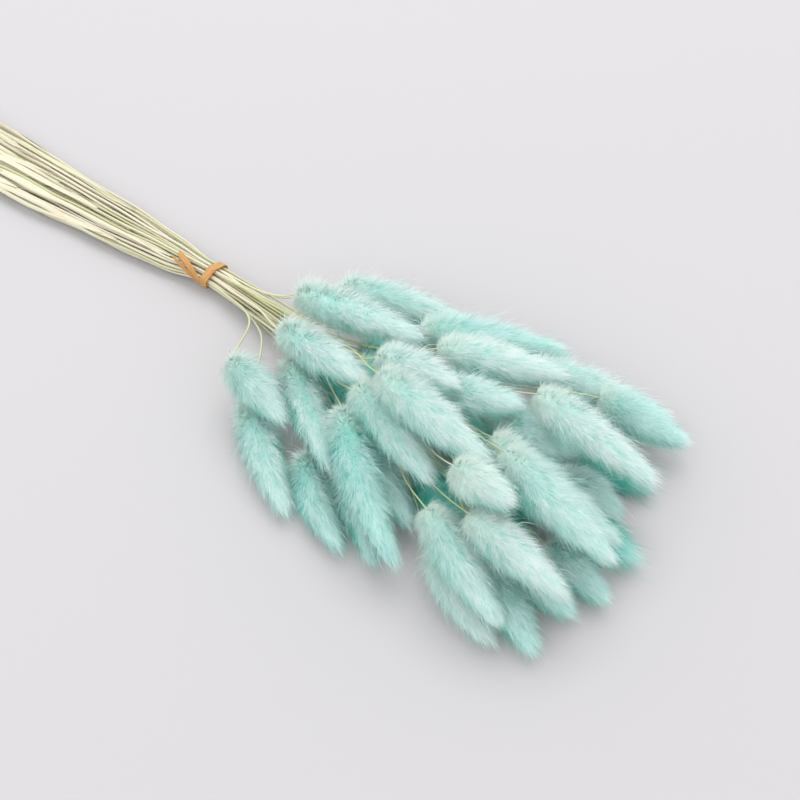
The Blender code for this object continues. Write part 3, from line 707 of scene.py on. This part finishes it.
class Cuts:
    """The outlines of a group's solid in planes across the bunch, cut when first asked for."""

    def __init__(self, name):
        self.mesh = node_mesh(name)
        self.known = {}

    def at(self, number):
        """Returns the outlines in a plane, counted from where the tie holds the stems."""
        if number not in self.known:
            self.known[number] = outlines(*self.mesh, HELD[0] + number * PLANE_STEP)
        return self.known[number]

    def sweep(self, step):
        """Follows the stems from plane to plane, from the tie to their ends on one side. Each
        trail has, for each plane, its number and the outline's middle and area."""
        number = step
        while len(self.at(number)[0]) < len(TRIO_TURNS):
            number += step
        trails = [[(number, place, area)] for place, area in zip(*self.at(number))]
        going = list(trails)
        while going:
            number += step
            middles, areas = self.at(number)
            if len(middles) < len(going) and abs(number) < STILL_MERGED:
                continue
            wanted = [run_on(trail, number) for trail in going]
            count = min(len(going), len(middles))
            orders = permutations(range(len(going)), count)
            best = min(orders, key=lambda order: sum(
                np.linalg.norm(wanted[index] - middle) for index, middle in zip(order, middles)))
            for index, middle, area in zip(best, middles, areas):
                going[index].append((number, middle, area))
            going = [going[index] for index in best]
        return trails

    def cap(self, trail):
        """Returns the middle of the flat end that lies just beyond a trail, and the way there."""
        (before, earlier, area_before), (number, place, area) = trail[-2:]
        last = np.array([HELD[0] + number * PLANE_STEP, *place])
        way = rows_unit(last - np.array([HELD[0] + before * PLANE_STEP, *earlier]))
        beyond = self.mesh[0] - last
        along = beyond @ way
        beside = np.linalg.norm(beyond - along[:, None] * way, axis=1)
        near = self.mesh[0][(np.abs(along) < CAP_REACH) & (beside < CAP_BESIDE)]
        end = near[np.argsort((near - last) @ way)[-CAD_SIDES:]].mean(axis=0)
        return end, way


def run_on(trail, number):
    """Returns where a trail, run on straight, meets a plane."""
    if len(trail) < 2:
        return trail[-1][1]
    (before, earlier, area_before), (last, place, area) = trail[-2:]
    return place + (place - earlier) * (number - last) / (last - before)


def slots_of(trails, slots, number):
    """Returns, for each trail, the slot in the tie that it comes from: the slots in the order
    that lies nearest to where the trails, run on straight, meet the tie."""
    ends = [run_on(trail[2::-1], number) for trail in trails]
    orders = permutations(range(len(slots)))
    return min(orders, key=lambda order: sum(
        np.linalg.norm(end - slots[index]) for end, index in zip(ends, order)))


def stem_lines(name):
    """Returns the middle lines of a group's three stems, and all its trails."""
    cuts = Cuts(name)
    turns = np.radians(TRIO_TURNS)
    slots = cuts.at(0)[0][0] + TRIO_RADIUS * np.stack([np.cos(turns), np.sin(turns)], axis=1)
    sides = []
    for step in (-1, 1):
        trails = cuts.sweep(step)
        order = slots_of(trails, slots, step * HELD_HALF / PLANE_STEP)
        sides.append(sorted(zip(order, trails), key=lambda row: row[0]))
    lines = []
    for (slot, back), (same_slot, front) in zip(*sides):
        halves = []
        for step, trail in ((-1, back), (1, front)):
            half = [(HELD[0] + step * HELD_HALF, *slots[slot])]
            half += [(HELD[0] + number * PLANE_STEP, *place) for number, place, area in trail]
            end, way = cuts.cap(trail)
            half.append(end)
            if step > 0:
                half.append(end + way * INTO_HEAD)
            halves.append(half)
        lines.append(np.array(halves[0][::-1] + halves[1]))
    return lines, [trail for rows in sides for slot, trail in rows]


def radius_law(trails):
    """Returns the stems' radius as a straight line over x, fitted to all measured outlines."""
    places = []
    radii = []
    for trail in trails:
        for (number, place, area), (after, later, area_after) in zip(trail, trail[1:]):
            run = np.append(later - place, (after - number) * PLANE_STEP)
            square = abs(run[-1]) / np.linalg.norm(run)
            places.append(HELD[0] + number * PLANE_STEP)
            radii.append(math.sqrt(area * square / PENTAGON))
    return np.polynomial.polynomial.polyfit(places, radii, 1)


def evened(line, step):
    """Returns a line as smooth points at even steps."""
    def spaced(points, wanted):
        marks = lengths_along(points)
        at = np.linspace(0, marks[-1], max(LEAST_POINTS, round(marks[-1] / wanted)))
        return np.stack([np.interp(at, marks, points[:, axis]) for axis in range(3)], axis=1)

    line = spaced(line, SMOOTH_STEP)
    for turn in range(SMOOTH_PASSES):
        line[1:-1] = line[1:-1] * 0.5 + (line[:-2] + line[2:]) * 0.25
    return spaced(line, step)


def lengths_along(line):
    """Returns how far along the line each of its points lies."""
    return np.append(0.0, np.cumsum(np.linalg.norm(np.diff(line, axis=0), axis=1)))


def waved(line, rng):
    """Returns a line with slight waves, but none at the tie and at its front end."""
    along = lengths_along(line)
    calm = np.minimum(np.abs(line[:, 0] - HELD[0]), along[-1] - along) / CALM
    size = WAVE * np.clip(calm - 0.5, 0, 1)
    shift = np.zeros_like(line)
    for long in WAVE_LENGTHS:
        for axis, share in ((1, 1.0), (2, WAVE_UPWARD)):
            wave = np.sin(2 * math.pi * (along / long + rng.uniform(0, 1)))
            shift[:, axis] += size * share * wave * rng.uniform(*WAVE_SHARES)
    return line + shift


def frames_along(line):
    """Returns the ways forward, aside and over along a line."""
    ways = rows_unit(np.gradient(line, axis=0))
    side = rows_unit(np.cross(UP, ways))
    return ways, side, np.cross(ways, side)


def stem_radius(line, law):
    """Returns the radius of a stem at the points of its line."""
    return (law[0] + law[1] * line[:, 0]) * np.interp(line[:, 0], TAPER_AT, (1, TAPER))


def in_band(band, share, margin):
    """Returns places across one band of the bake's map."""
    return (band + margin + (1 - 2 * margin) * share) / MAP_BANDS


def sheath_shape(line, law, slot, rng):
    """Returns a papery sheath: an open strip that clasps a stem and flares at its edges."""
    along = lengths_along(line)
    start = rng.uniform(*SHEATH_FROM)
    last = along[line[:, 0] < HELD[0] + SHEATH_LAST].max()
    keep = (along >= start) & (along <= min(last, start + rng.uniform(*SHEATH_LONG)))
    side, over = frames_along(line)[1:]
    row = line[keep]
    count = len(row)
    step = np.linspace(0, 1, count)
    across = np.linspace(-1, 1, SHEATH_COLUMNS)
    opening = SHEATH_OPENING[0] * step + SHEATH_OPENING[1]
    closing = SHEATH_CLOSING[0] * (1 - step) + SHEATH_CLOSING[1]
    half = rng.uniform(*SHEATH_HALF) * np.sqrt(np.clip(np.minimum(opening, closing), 0, 1))
    middle = math.pi / 2 + rng.normal(0, SHEATH_TURN) + rng.normal(0, SHEATH_TWIST) * step
    turn = middle[:, None] + half[:, None] * across
    flare = rng.uniform(*SHEATH_FLARE) * np.interp(step, FLARE_AT, FLARE_SHARES)
    out = stem_radius(row, law) + SHEATH_LIFT
    out = out[:, None] + flare[:, None] * np.abs(across) ** FLARE_POWER
    out = out + rng.normal(0, SHEATH_CRINKLE, out.shape)
    points = (row[:, None] + side[keep][:, None] * (out * np.cos(turn))[:, :, None]
              + over[keep][:, None] * (out * np.sin(turn))[:, :, None]).reshape(-1, 3)
    points[:, 2] = np.maximum(points[:, 2], LOWEST_HAIR)
    low = (np.arange(count - 1)[:, None] * SHEATH_COLUMNS + np.arange(SHEATH_COLUMNS - 1)).ravel()
    high = low + SHEATH_COLUMNS
    triangles = np.concatenate([np.stack([low, high, high + 1], axis=1),
                                np.stack([low, high + 1, low + 1], axis=1)])
    u = np.repeat(along[keep] / along[-1], SHEATH_COLUMNS)
    v = in_band(slot, np.tile((across + 1) / 2, count), SHEATH_MARGIN)
    tint = np.full(len(points), rng.uniform(*SHEATH_TINTS))
    return Shape(points, triangles, np.stack([u, v], axis=1), None, tint)


def stem_shape(line, law, sides, slot, tint):
    """Returns a finely ridged stem with a hollow cut end."""
    ways, side, over = frames_along(line)
    radius = stem_radius(line, law)
    turns = np.arange(sides) * 2 * math.pi / sides
    ridged = 1 + RIDGE * np.where(np.arange(sides) % 2, -1, 1)
    rings = [(0, HOLLOW, HOLLOW_DEPTH), (0, HOLLOW, 0.0)]
    rings += [(row, 1.0, 0.0) for row in range(len(line))]
    points = []
    for row, share, depth in rings:
        circle = side[row] * np.cos(turns)[:, None] + over[row] * np.sin(turns)[:, None]
        points.append(line[row] + ways[row] * depth + circle * (radius[row] * share * ridged)[:, None])
    points = np.concatenate(points + [line[:1] + ways[0] * HOLLOW_DEPTH, line[-1:]])
    points[:, 2] = np.maximum(points[:, 2], 0.0)
    place = np.arange(sides)
    beside = (place + 1) % sides
    triangles = []
    for ring in range(len(rings) - 1):
        low, high = ring * sides, (ring + 1) * sides
        triangles.append(np.stack([low + place, low + beside, high + beside], axis=1))
        triangles.append(np.stack([low + place, high + beside, high + place], axis=1))
    last = (len(rings) - 1) * sides
    bottom = np.full(sides, len(points) - 2)
    top = np.full(sides, len(points) - 1)
    triangles.append(np.stack([beside, place, bottom], axis=1))
    triangles.append(np.stack([last + place, last + beside, top], axis=1))
    u = np.append(np.repeat([row / (len(line) - 1) for row, share, depth in rings], sides), [0, 1])
    v = in_band(slot, np.append(np.tile(place / (sides - 1), len(rings)), [0.5, 0.5]), STEM_MARGIN)
    maps = np.stack([u, v], axis=1)
    return Shape(points, np.concatenate(triangles), maps, None, np.full(len(points), tint))


class TieSolid:
    """The tie's solid, read by rays towards the middle of the stems."""

    def __init__(self):
        points, triangles = node_mesh(TIE)
        self.tree = BVHTree.FromPolygons(points.tolist(), triangles.tolist())

    def surface(self, x, degrees):
        """Returns the outer surface at a place along the bunch and a turn round it."""
        turn = math.radians(degrees)
        out = np.array([0.0, math.cos(turn), math.sin(turn)])
        start = np.array([x, HELD[1], HELD[2]]) + out * TIE_REACH
        hit = self.tree.ray_cast(Vector(start), Vector(-out))[0]
        return (None if hit is None else np.array(hit)), out

    def band_surface(self, degrees, aside):
        """Returns the outer surface of the band, which goes a little slantwise round."""
        place, out = self.surface(HELD[0] + TIE_ASIDE + aside, degrees)
        for again in range(3):
            across = 0.0 if place is None else place[1] - HELD[1]
            place, out = self.surface(HELD[0] + TIE_ASIDE + TIE_SLANT * across + aside, degrees)
        return place, out


def strip_shape(rows, ups, sides, halves, thickness, closed, band, rng):
    """Returns a flat fibrous strip with rounded edges along a line of places."""
    across = np.linspace(-1, 1, STRIP_COLUMNS)
    ridges = rng.uniform(-1, 1, STRIP_COLUMNS) * STRIP_RIDGE
    edge = np.sqrt(np.maximum(0, 1 - np.abs(across) ** STRIP_EDGE_POWER))
    depth = thickness * (STRIP_EDGE_SHARE + (1 - STRIP_EDGE_SHARE) * edge)
    points = []
    maps = []
    count = len(rows)
    for number in range(count):
        drift = rng.normal(0, STRIP_DRIFT, STRIP_COLUMNS) * STRIP_RIDGE
        top = (ridges + drift) * edge
        for lift, order in ((top, 1), (top - depth, -1)):
            for column in range(STRIP_COLUMNS)[::order]:
                points.append(rows[number] + sides[number] * across[column] * halves[number]
                              + ups[number] * lift[column])
                u = number / count if closed else number / (count - 1)
                ring_share = (across[column] * order + 1) / 4 + (0 if order > 0 else 0.5)
                maps.append((u, in_band(band, ring_share, STRIP_MARGIN)))
    each = 2 * STRIP_COLUMNS
    triangles = []
    for number in range(count if closed else count - 1):
        low, high = number * each, (number + 1) % count * each
        for corner in range(each):
            beside = (corner + 1) % each
            triangles += [(low + corner, low + beside, high + beside),
                          (low + corner, high + beside, high + corner)]
    if not closed:
        for first in (0, (count - 1) * each):
            for column in range(STRIP_COLUMNS - 1):
                a, b = first + column, first + column + 1
                c, d = first + each - 1 - column, first + each - 2 - column
                triangles += [(a, b, d), (a, d, c)] if first else [(a, d, b), (a, c, d)]
    return Shape(np.array(points), np.array(triangles), np.array(maps))


def band_shape(solid, rng):
    """Returns the part of the tie that goes round the stems."""
    rows = []
    ups = []
    for number in range(BAND_AROUND):
        place, out = solid.band_surface(360 * number / BAND_AROUND, 0.0)
        rows.append(place)
        ups.append(out)
    rows = np.array(rows)
    ups = np.array(ups)
    forward = rows_unit(np.roll(rows, -1, axis=0) - np.roll(rows, 1, axis=0))
    sides = rows_unit(np.cross(forward, ups))
    ups = np.cross(sides, forward)
    halves = BAND_HALF * (1 + STRIP_UNEVEN * rng.normal(0, 1, BAND_AROUND))
    return strip_shape(rows, ups, sides, halves, BAND_THICKNESS, True, 0, rng)


def tail_shape(solid, path, ends, band, rng):
    """Returns one of the tie's two tails."""
    places = [solid.surface(HELD[0] + x * MM, degrees) for x, degrees in path]
    known = [number for number, (place, out) in enumerate(places) if place is not None]
    at = np.linspace(known[0], known[-1], TAIL_RINGS)
    rows = np.stack([np.interp(at, known, [places[number][0][axis] for number in known])
                     for axis in range(3)], axis=1)
    ups = rows_unit(np.stack([np.interp(at, known, [places[number][1][axis] for number in known])
                              for axis in range(3)], axis=1))
    for turn in range(3 * SMOOTH_PASSES):
        rows[1:-1] = rows[1:-1] * 0.5 + (rows[:-2] + rows[2:]) * 0.25
    forward = rows_unit(np.gradient(rows, axis=0))
    sides = rows_unit(np.cross(forward, ups))
    ups = np.cross(sides, forward)
    uneven = 1 + STRIP_UNEVEN * rng.normal(0, 1, TAIL_RINGS)
    halves = np.interp(at, (known[0], known[-1]), ends) * uneven
    shape = strip_shape(rows, ups, sides, halves, TAIL_THICKNESS, False, band, rng)
    last = 2 * STRIP_COLUMNS * (TAIL_RINGS - 1)
    slanted = (shape.points[last:] - rows[-1]) @ sides[-1]
    shape.points[last:] += forward[-1] * (slanted * TAIL_END_SLANT)[:, None]
    return shape


def add_node(tree, kind, sockets=None, **settings):
    """Adds a shader node, and gives each named socket its link or its value."""
    node = tree.nodes.new("ShaderNode" + kind)
    for key, value in settings.items():
        setattr(node, key, value)
    for key, value in (sockets or {}).items():
        if isinstance(value, bpy.types.NodeSocket):
            tree.links.new(value, node.inputs[key])
        else:
            node.inputs[key].default_value = value
    return node


def new_group(name, inputs, outputs):
    """Returns a new shader group, its inputs and its output node."""
    group = bpy.data.node_groups.new(name, "ShaderNodeTree")
    for label, kind, value in inputs:
        socket = group.interface.new_socket(name=label, in_out="INPUT", socket_type="NodeSocket" + kind)
        if value is not None:
            socket.default_value = value
    for label, kind in outputs:
        group.interface.new_socket(name=label, in_out="OUTPUT", socket_type="NodeSocket" + kind)
    return group, group.nodes.new("NodeGroupInput").outputs, group.nodes.new("NodeGroupOutput").inputs


def new_material(name):
    """Returns a new material, its tree and its shader."""
    material = bpy.data.materials.new(name)
    material.use_nodes = True
    return material, material.node_tree, material.node_tree.nodes["Principled BSDF"]


def hair_group():
    """Builds the dyed hair's colour from the place along the head and along the hair. The mark along the
    hair also carries painted shade, which keeps shaded hairs nearer the root's colour.
    """
    white = (1.0, 1.0, 1.0, 1.0)
    group, given, result = new_group(
        "dyed_hair",
        (("Place", "Vector", None), ("Tip", "Color", white), ("Root", "Color", white),
         ("Base", "Color", white), ("Base Reach", "Float", 0.16)),
        (("Color", "Color"),))
    split = add_node(group, "SeparateXYZ", {"Vector": given["Place"]})
    rising = add_node(group, "MapRange", {"Value": split.outputs["Y"], "From Min": 0.0, "From Max": 0.66})
    along = add_node(group, "Mix", {"Factor": rising.outputs["Result"], "A": given["Root"],
                                    "B": given["Tip"]}, data_type="RGBA")
    near = add_node(group, "MapRange", {"Value": split.outputs["X"], "From Min": given["Base Reach"],
                                        "From Max": 0.0, "To Max": 0.75})
    based = add_node(group, "Mix", {"Factor": near.outputs["Result"], "A": along.outputs["Result"],
                                    "B": given["Base"]}, data_type="RGBA")
    drawn_out = add_node(group, "VectorMath", {0: given["Place"], 1: (260.0, 2.0, 1.0)},
                         operation="MULTIPLY")
    speckle = add_node(group, "TexNoise", {"Vector": drawn_out.outputs["Vector"], "Scale": 1.0,
                                           "Detail": 1.0})
    uneven = add_node(group, "MapRange", {"Value": speckle.outputs["Fac"], "From Min": 0.3,
                                          "From Max": 0.7, "To Min": 0.80, "To Max": 1.06})
    varied = add_node(group, "VectorMath", {0: based.outputs["Result"],
                                            "Scale": uneven.outputs["Result"]}, operation="SCALE")
    sliver = add_node(group, "Math", {0: split.outputs["Y"], 1: (TIP_MARK + SLIVER_MARK) / 2},
                      operation="GREATER_THAN")
    husk = add_node(group, "Math", {0: split.outputs["Y"], 1: (SLIVER_MARK + HUSK_MARK) / 2},
                    operation="GREATER_THAN")
    paled = add_node(group, "Mix", {"Factor": sliver.outputs["Value"], "A": varied.outputs["Vector"],
                                    "B": SLIVER_COLOUR}, data_type="RGBA")
    marked = add_node(group, "Mix", {"Factor": husk.outputs["Value"], "A": paled.outputs["Result"],
                                     "B": HUSK_COLOUR}, data_type="RGBA")
    group.links.new(marked.outputs["Result"], result["Color"])
    return group


def hair_material(label, dye, reach, group, settings):
    """Returns the hair of one tint; some of the light that falls on a hair goes on through it."""
    material, tree, shader = new_material("hair_" + label)

    def dyed(plain, full):
        return (*(a * (1 - dye) + b * dye for a, b in zip(plain, full)), 1)

    place = add_node(tree, "UVMap", uv_map=BAKE_MAP)
    hair = add_node(tree, "Group", node_tree=group)
    tree.links.new(place.outputs["UV"], hair.inputs["Place"])
    hair.inputs["Tip"].default_value = dyed(settings.tip_colour, settings.dyed_tip_colour)
    hair.inputs["Root"].default_value = dyed(settings.root_colour, settings.dyed_root_colour)
    hair.inputs["Base"].default_value = (*settings.base_colour, 1)
    hair.inputs["Base Reach"].default_value = reach
    tree.links.new(hair.outputs["Color"], shader.inputs["Base Color"])
    shader.inputs["Roughness"].default_value = 0.85
    shader.inputs["Specular IOR Level"].default_value = 0.08
    light = add_node(tree, "LightPath")
    lit = add_node(tree, "Math", {0: light.outputs["Is Shadow Ray"],
                                  1: light.outputs["Is Diffuse Ray"]}, operation="MAXIMUM")
    solid = add_node(tree, "Math", {0: lit.outputs["Value"], 1: -LIGHT_THROUGH, 2: 1.0},
                     operation="MULTIPLY_ADD")
    tree.links.new(solid.outputs["Value"], shader.inputs["Alpha"])
    return material


def fibre_group():
    """Builds fine fibres that run along a piece: a mask of streaks and their relief."""
    group, given, result = new_group(
        "fibres",
        (("Place", "Vector", None), ("Along", "Float", 6.0), ("Across", "Float", 60.0),
         ("Relief", "Float", 0.3)),
        (("Streaks", "Float"), ("Normal", "Vector")))
    scale = add_node(group, "CombineXYZ", {"X": given["Along"], "Y": given["Across"],
                                           "Z": given["Across"]})
    stretched = add_node(group, "VectorMath", {0: given["Place"], 1: scale.outputs["Vector"]},
                         operation="MULTIPLY")
    noise = add_node(group, "TexNoise", {"Vector": stretched.outputs["Vector"], "Scale": 1.0,
                                         "Detail": 4.0, "Roughness": 0.6})
    streaks = add_node(group, "MapRange", {"Value": noise.outputs["Fac"], "From Min": 0.35,
                                           "From Max": 0.7})
    bump = add_node(group, "Bump", {"Height": noise.outputs["Fac"], "Strength": given["Relief"],
                                    "Distance": 0.0002})
    group.links.new(streaks.outputs["Result"], result["Streaks"])
    group.links.new(bump.outputs["Normal"], result["Normal"])
    return group


def add_fibres(tree, group, shader, along, across, relief):
    """Adds the fibres to a material along its baked map, and returns their mask."""
    place = add_node(tree, "UVMap", uv_map=BAKE_MAP)
    fibres = add_node(tree, "Group", node_tree=group)
    tree.links.new(place.outputs["UV"], fibres.inputs["Place"])
    fibres.inputs["Along"].default_value = along
    fibres.inputs["Across"].default_value = across
    fibres.inputs["Relief"].default_value = relief
    tree.links.new(fibres.outputs["Normal"], shader.inputs["Normal"])
    return fibres.outputs["Streaks"]


def stem_material(group, settings):
    """Returns the dried stems: straw, a few dyed, and greener and darker towards the heads, partly as
    fresher stems and partly as painted shade from the heads.
    """
    material, tree, shader = new_material("dried_stem")
    streaks = add_fibres(tree, group, shader, along=14.0, across=70.0, relief=0.35)
    tint = add_node(tree, "Attribute", attribute_name=TINT)
    straw, green, dyed = ((*colour, 1) for colour in (
        settings.straw_colour, settings.green_colour, settings.dyed_colour))
    kinds = add_node(tree, "ValToRGB", {"Fac": tint.outputs["Fac"]})
    ramp = kinds.color_ramp
    pale = tuple(min(1.0, part * STRAW_LIGHTER) for part in straw)
    ramp.elements[0].color = AGED_COLOUR
    ramp.elements[1].color = dyed
    for position, colour in ((0.1, straw), (0.35, pale), (0.6, straw), (0.74, green), (0.84, straw)):
        ramp.elements.new(position).color = colour
    place = add_node(tree, "TexCoord")
    split = add_node(tree, "SeparateXYZ", {"Vector": place.outputs["Object"]})
    # Greener and darker towards the heads: partly fresher stems, partly painted shade from the heads
    ahead = add_node(tree, "MapRange", {"Value": split.outputs["X"], "From Min": GREENER_AND_SHADED_FROM,
                                        "From Max": GREENER_AND_SHADED_TO, "To Max": 0.75})
    greener_and_shaded = add_node(tree, "Mix", {"Factor": ahead.outputs["Result"], "A": kinds.outputs["Color"],
                                     "B": green}, data_type="RGBA")
    weak = add_node(tree, "Math", {0: streaks, 1: 0.45}, operation="MULTIPLY")
    streaked = add_node(tree, "Mix", {"Factor": weak.outputs["Value"], "A": greener_and_shaded.outputs["Result"],
                                      "B": AGED_COLOUR}, data_type="RGBA")
    tree.links.new(streaked.outputs["Result"], shader.inputs["Base Color"])
    shader.inputs["Roughness"].default_value = 0.55
    shader.inputs["Specular IOR Level"].default_value = 0.35
    return material


def tie_material(group, settings):
    """Returns the tan strip with its darker fibres."""
    material, tree, shader = new_material("tan_strip")
    streaks = add_fibres(tree, group, shader, along=5.0, across=70.0, relief=0.8)
    strands = add_node(tree, "Mix", {"Factor": streaks, "A": (*settings.tan_colour, 1),
                                     "B": (*settings.dark_colour, 1)}, data_type="RGBA")
    tree.links.new(strands.outputs["Result"], shader.inputs["Base Color"])
    shader.inputs["Roughness"].default_value = 0.5
    shader.inputs["Specular IOR Level"].default_value = 0.4
    return material


def shared_group(name, build):
    """Returns a shader group that is built once."""
    return bpy.data.node_groups.get(name) or build()


class BUNCH_OT_heads(bpy.types.Operator):
    """Makes the haired heads in the place of their solids"""

    bl_idname = "bunch.heads"
    bl_label = "Heads"

    def execute(self, context):
        settings = context.scene.bunch_heads
        group = shared_group("dyed_hair", hair_group)
        materials = {key: hair_material(*row, group, settings) for key, row in TINTS.items()}
        heads = [Head(name) for name in HEADS]
        for number, (name, head) in enumerate(zip(HEADS, heads)):
            rng = np.random.default_rng(HEAD_SEED + number)
            others = heads[:number] + heads[number + 1:]
            seen = number < SEEN_HEADS
            share = 1.0 if seen else settings.hidden_share
            spikelets = round(settings.spikelets * share * math.sqrt(head.length / TYPICAL_LENGTH))
            # Heads under others get painted shade: their hairs stay nearer the root's colour
            shape = joined([
                core_shape(head, rng),
                hair_shape(head, others, spikelets, settings.hairs,
                           settings.hair_length * (1 if seen else UNDER_LONGER),
                           settings.hair_width, 1 if seen else UNDER_HEADS_SHADE_PALENESS, rng),
                scale_shape(head, HUSKS, HUSK_SIZE, HUSK_MARK, rng),
                scale_shape(head, SLIVERS, SLIVER_SIZE, SLIVER_MARK, rng),
            ])
            piece = add_piece("haired_" + name, shape, materials[HEAD_TINTS[number]])
            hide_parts(name)
        return {"FINISHED"}


class BUNCH_OT_stems(bpy.types.Operator):
    """Makes the fine stems in the place of their solids"""

    bl_idname = "bunch.stems"
    bl_label = "Stems"

    def execute(self, context):
        settings = context.scene.bunch_stems
        found = {name: stem_lines(name) for name in STEM_GROUPS}
        law = radius_law([trail for lines, trails in found.values() for trail in trails])
        material = stem_material(shared_group("fibres", fibre_group), settings)
        rng = np.random.default_rng(STEM_SEED)
        for name in STEM_GROUPS:
            shapes = []
            for slot, line in enumerate(found[name][0]):
                line = waved(evened(line, settings.ring_step), rng)
                shapes.append(stem_shape(line, law, settings.sides, slot, rng.uniform(0, 1)))
                shapes += [sheath_shape(line, law, slot, rng) for turn in range(SHEATHS)]
            shape = joined(shapes)
            piece = add_piece("fine_" + name, shape, material)
            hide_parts(name)
        return {"FINISHED"}


class BUNCH_OT_tie(bpy.types.Operator):
    """Makes the fibrous strip in the place of the tie's solid"""

    bl_idname = "bunch.tie"
    bl_label = "Tie"

    def execute(self, context):
        settings = context.scene.bunch_tie
        rng = np.random.default_rng(TIE_SEED)
        solid = TieSolid()
        shape = joined([
            band_shape(solid, rng),
            tail_shape(solid, WIDE_TAIL, WIDE_TAIL_HALVES, 1, rng),
            tail_shape(solid, THIN_TAIL, THIN_TAIL_HALVES, 2, rng),
        ])
        material = tie_material(shared_group("fibres", fibre_group), settings)
        piece = add_piece("strip_tie", shape, material)
        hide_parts(TIE)
        return {"FINISHED"}


def floor_material(colour):
    """Returns the plain pale floor."""
    material, tree, shader = new_material("floor")
    shader.inputs["Base Color"].default_value = (*colour, 1)
    shader.inputs["Roughness"].default_value = 0.9
    shader.inputs["Specular IOR Level"].default_value = 0.1
    return material


class BUNCH_OT_stage(bpy.types.Operator):
    """Makes the floor, the light and the camera"""

    bl_idname = "bunch.stage"
    bl_label = "Stage"

    def execute(self, context):
        settings = context.scene.bunch_stage
        look = Vector(settings.look_at)
        turn, rise = settings.azimuth, settings.elevation
        back = Vector((math.sin(turn) * math.cos(rise), -math.cos(turn) * math.cos(rise), math.sin(rise)))
        right = Vector((math.cos(turn), math.sin(turn), 0))
        up = back.cross(right)
        lens = bpy.data.cameras.new("camera")
        lens.lens = settings.lens
        lens.sensor_width = 36
        lens.clip_start = 0.01
        lens.clip_end = 50
        camera = bpy.data.objects.new("camera", lens)
        camera.matrix_world = Matrix.Translation(look + back * settings.distance) @ Matrix(
            (right, up, back)).transposed().to_4x4()
        context.scene.collection.objects.link(camera)
        context.scene.camera = camera

        floor = bpy.data.meshes.new("floor")
        corners = [(x * FLOOR_HALF, y * FLOOR_HALF, 0) for x, y in ((-1, -1), (1, -1), (1, 1), (-1, 1))]
        floor.from_pydata(corners, [], [(0, 1, 2, 3)])
        floor.materials.append(floor_material(settings.floor_colour))
        ground = bpy.data.objects.new("floor", floor)
        context.scene.collection.objects.link(ground)

        ahead = Vector((-math.sin(turn), math.cos(turn), 0))
        for name, (rightward, onward, upward, size), power in (
            ("key_light", KEY_LIGHT, settings.key_power),
            ("fill_light", FILL_LIGHT, settings.fill_power),
        ):
            way = right * rightward + ahead * onward + Vector((0, 0, upward))
            lamp = bpy.data.lights.new(name, "AREA")
            lamp.shape = "DISK"
            lamp.size = size
            lamp.energy = power
            light = bpy.data.objects.new(name, lamp)
            light.location = look + way
            light.rotation_mode = "QUATERNION"
            light.rotation_quaternion = way.to_track_quat("Z", "Y")
            context.scene.collection.objects.link(light)
        world = bpy.data.worlds.new("studio")
        world.use_nodes = True
        sky = world.node_tree.nodes["Background"]
        sky.inputs["Color"].default_value = (1.0, 1.0, 1.0, 1)
        sky.inputs["Strength"].default_value = settings.sky_strength
        context.scene.world = world
        context.scene.view_settings.view_transform = "Standard"
        return {"FINISHED"}


OPERATORS = (BUNCH_OT_heads, BUNCH_OT_stems, BUNCH_OT_tie, BUNCH_OT_stage)
SETTINGS = {
    "bunch_heads": BunchHeads,
    "bunch_stems": BunchStems,
    "bunch_tie": BunchTie,
    "bunch_stage": BunchStage,
}


class BUNCH_PT_panel(bpy.types.Panel):
    """Lists what makes the bunch"""

    bl_idname = "BUNCH_PT_panel"
    bl_label = "Bunny Tail Bunch"
    bl_space_type = "VIEW_3D"
    bl_region_type = "UI"
    bl_category = "Bunch"

    def draw(self, context):
        for name, operator in zip(SETTINGS, OPERATORS):
            box = self.layout.box()
            settings = getattr(context.scene, name)
            for key in SETTINGS[name].__annotations__:
                box.prop(settings, key)
            box.operator(operator.bl_idname)


CLASSES = (*SETTINGS.values(), *OPERATORS, BUNCH_PT_panel)


def register():
    """Registers the add-on."""
    for item in CLASSES:
        bpy.utils.register_class(item)
    for name, group in SETTINGS.items():
        setattr(bpy.types.Scene, name, bpy.props.PointerProperty(type=group))


def unregister():
    """Takes the add-on out again."""
    for name in SETTINGS:
        delattr(bpy.types.Scene, name)
    for item in reversed(CLASSES):
        bpy.utils.unregister_class(item)


def main():
    """Makes every piece and the stage."""
    register()
    bpy.ops.bunch.heads()
    bpy.ops.bunch.stems()
    bpy.ops.bunch.tie()
    bpy.ops.bunch.stage()


if __name__ == "__main__":
    main()
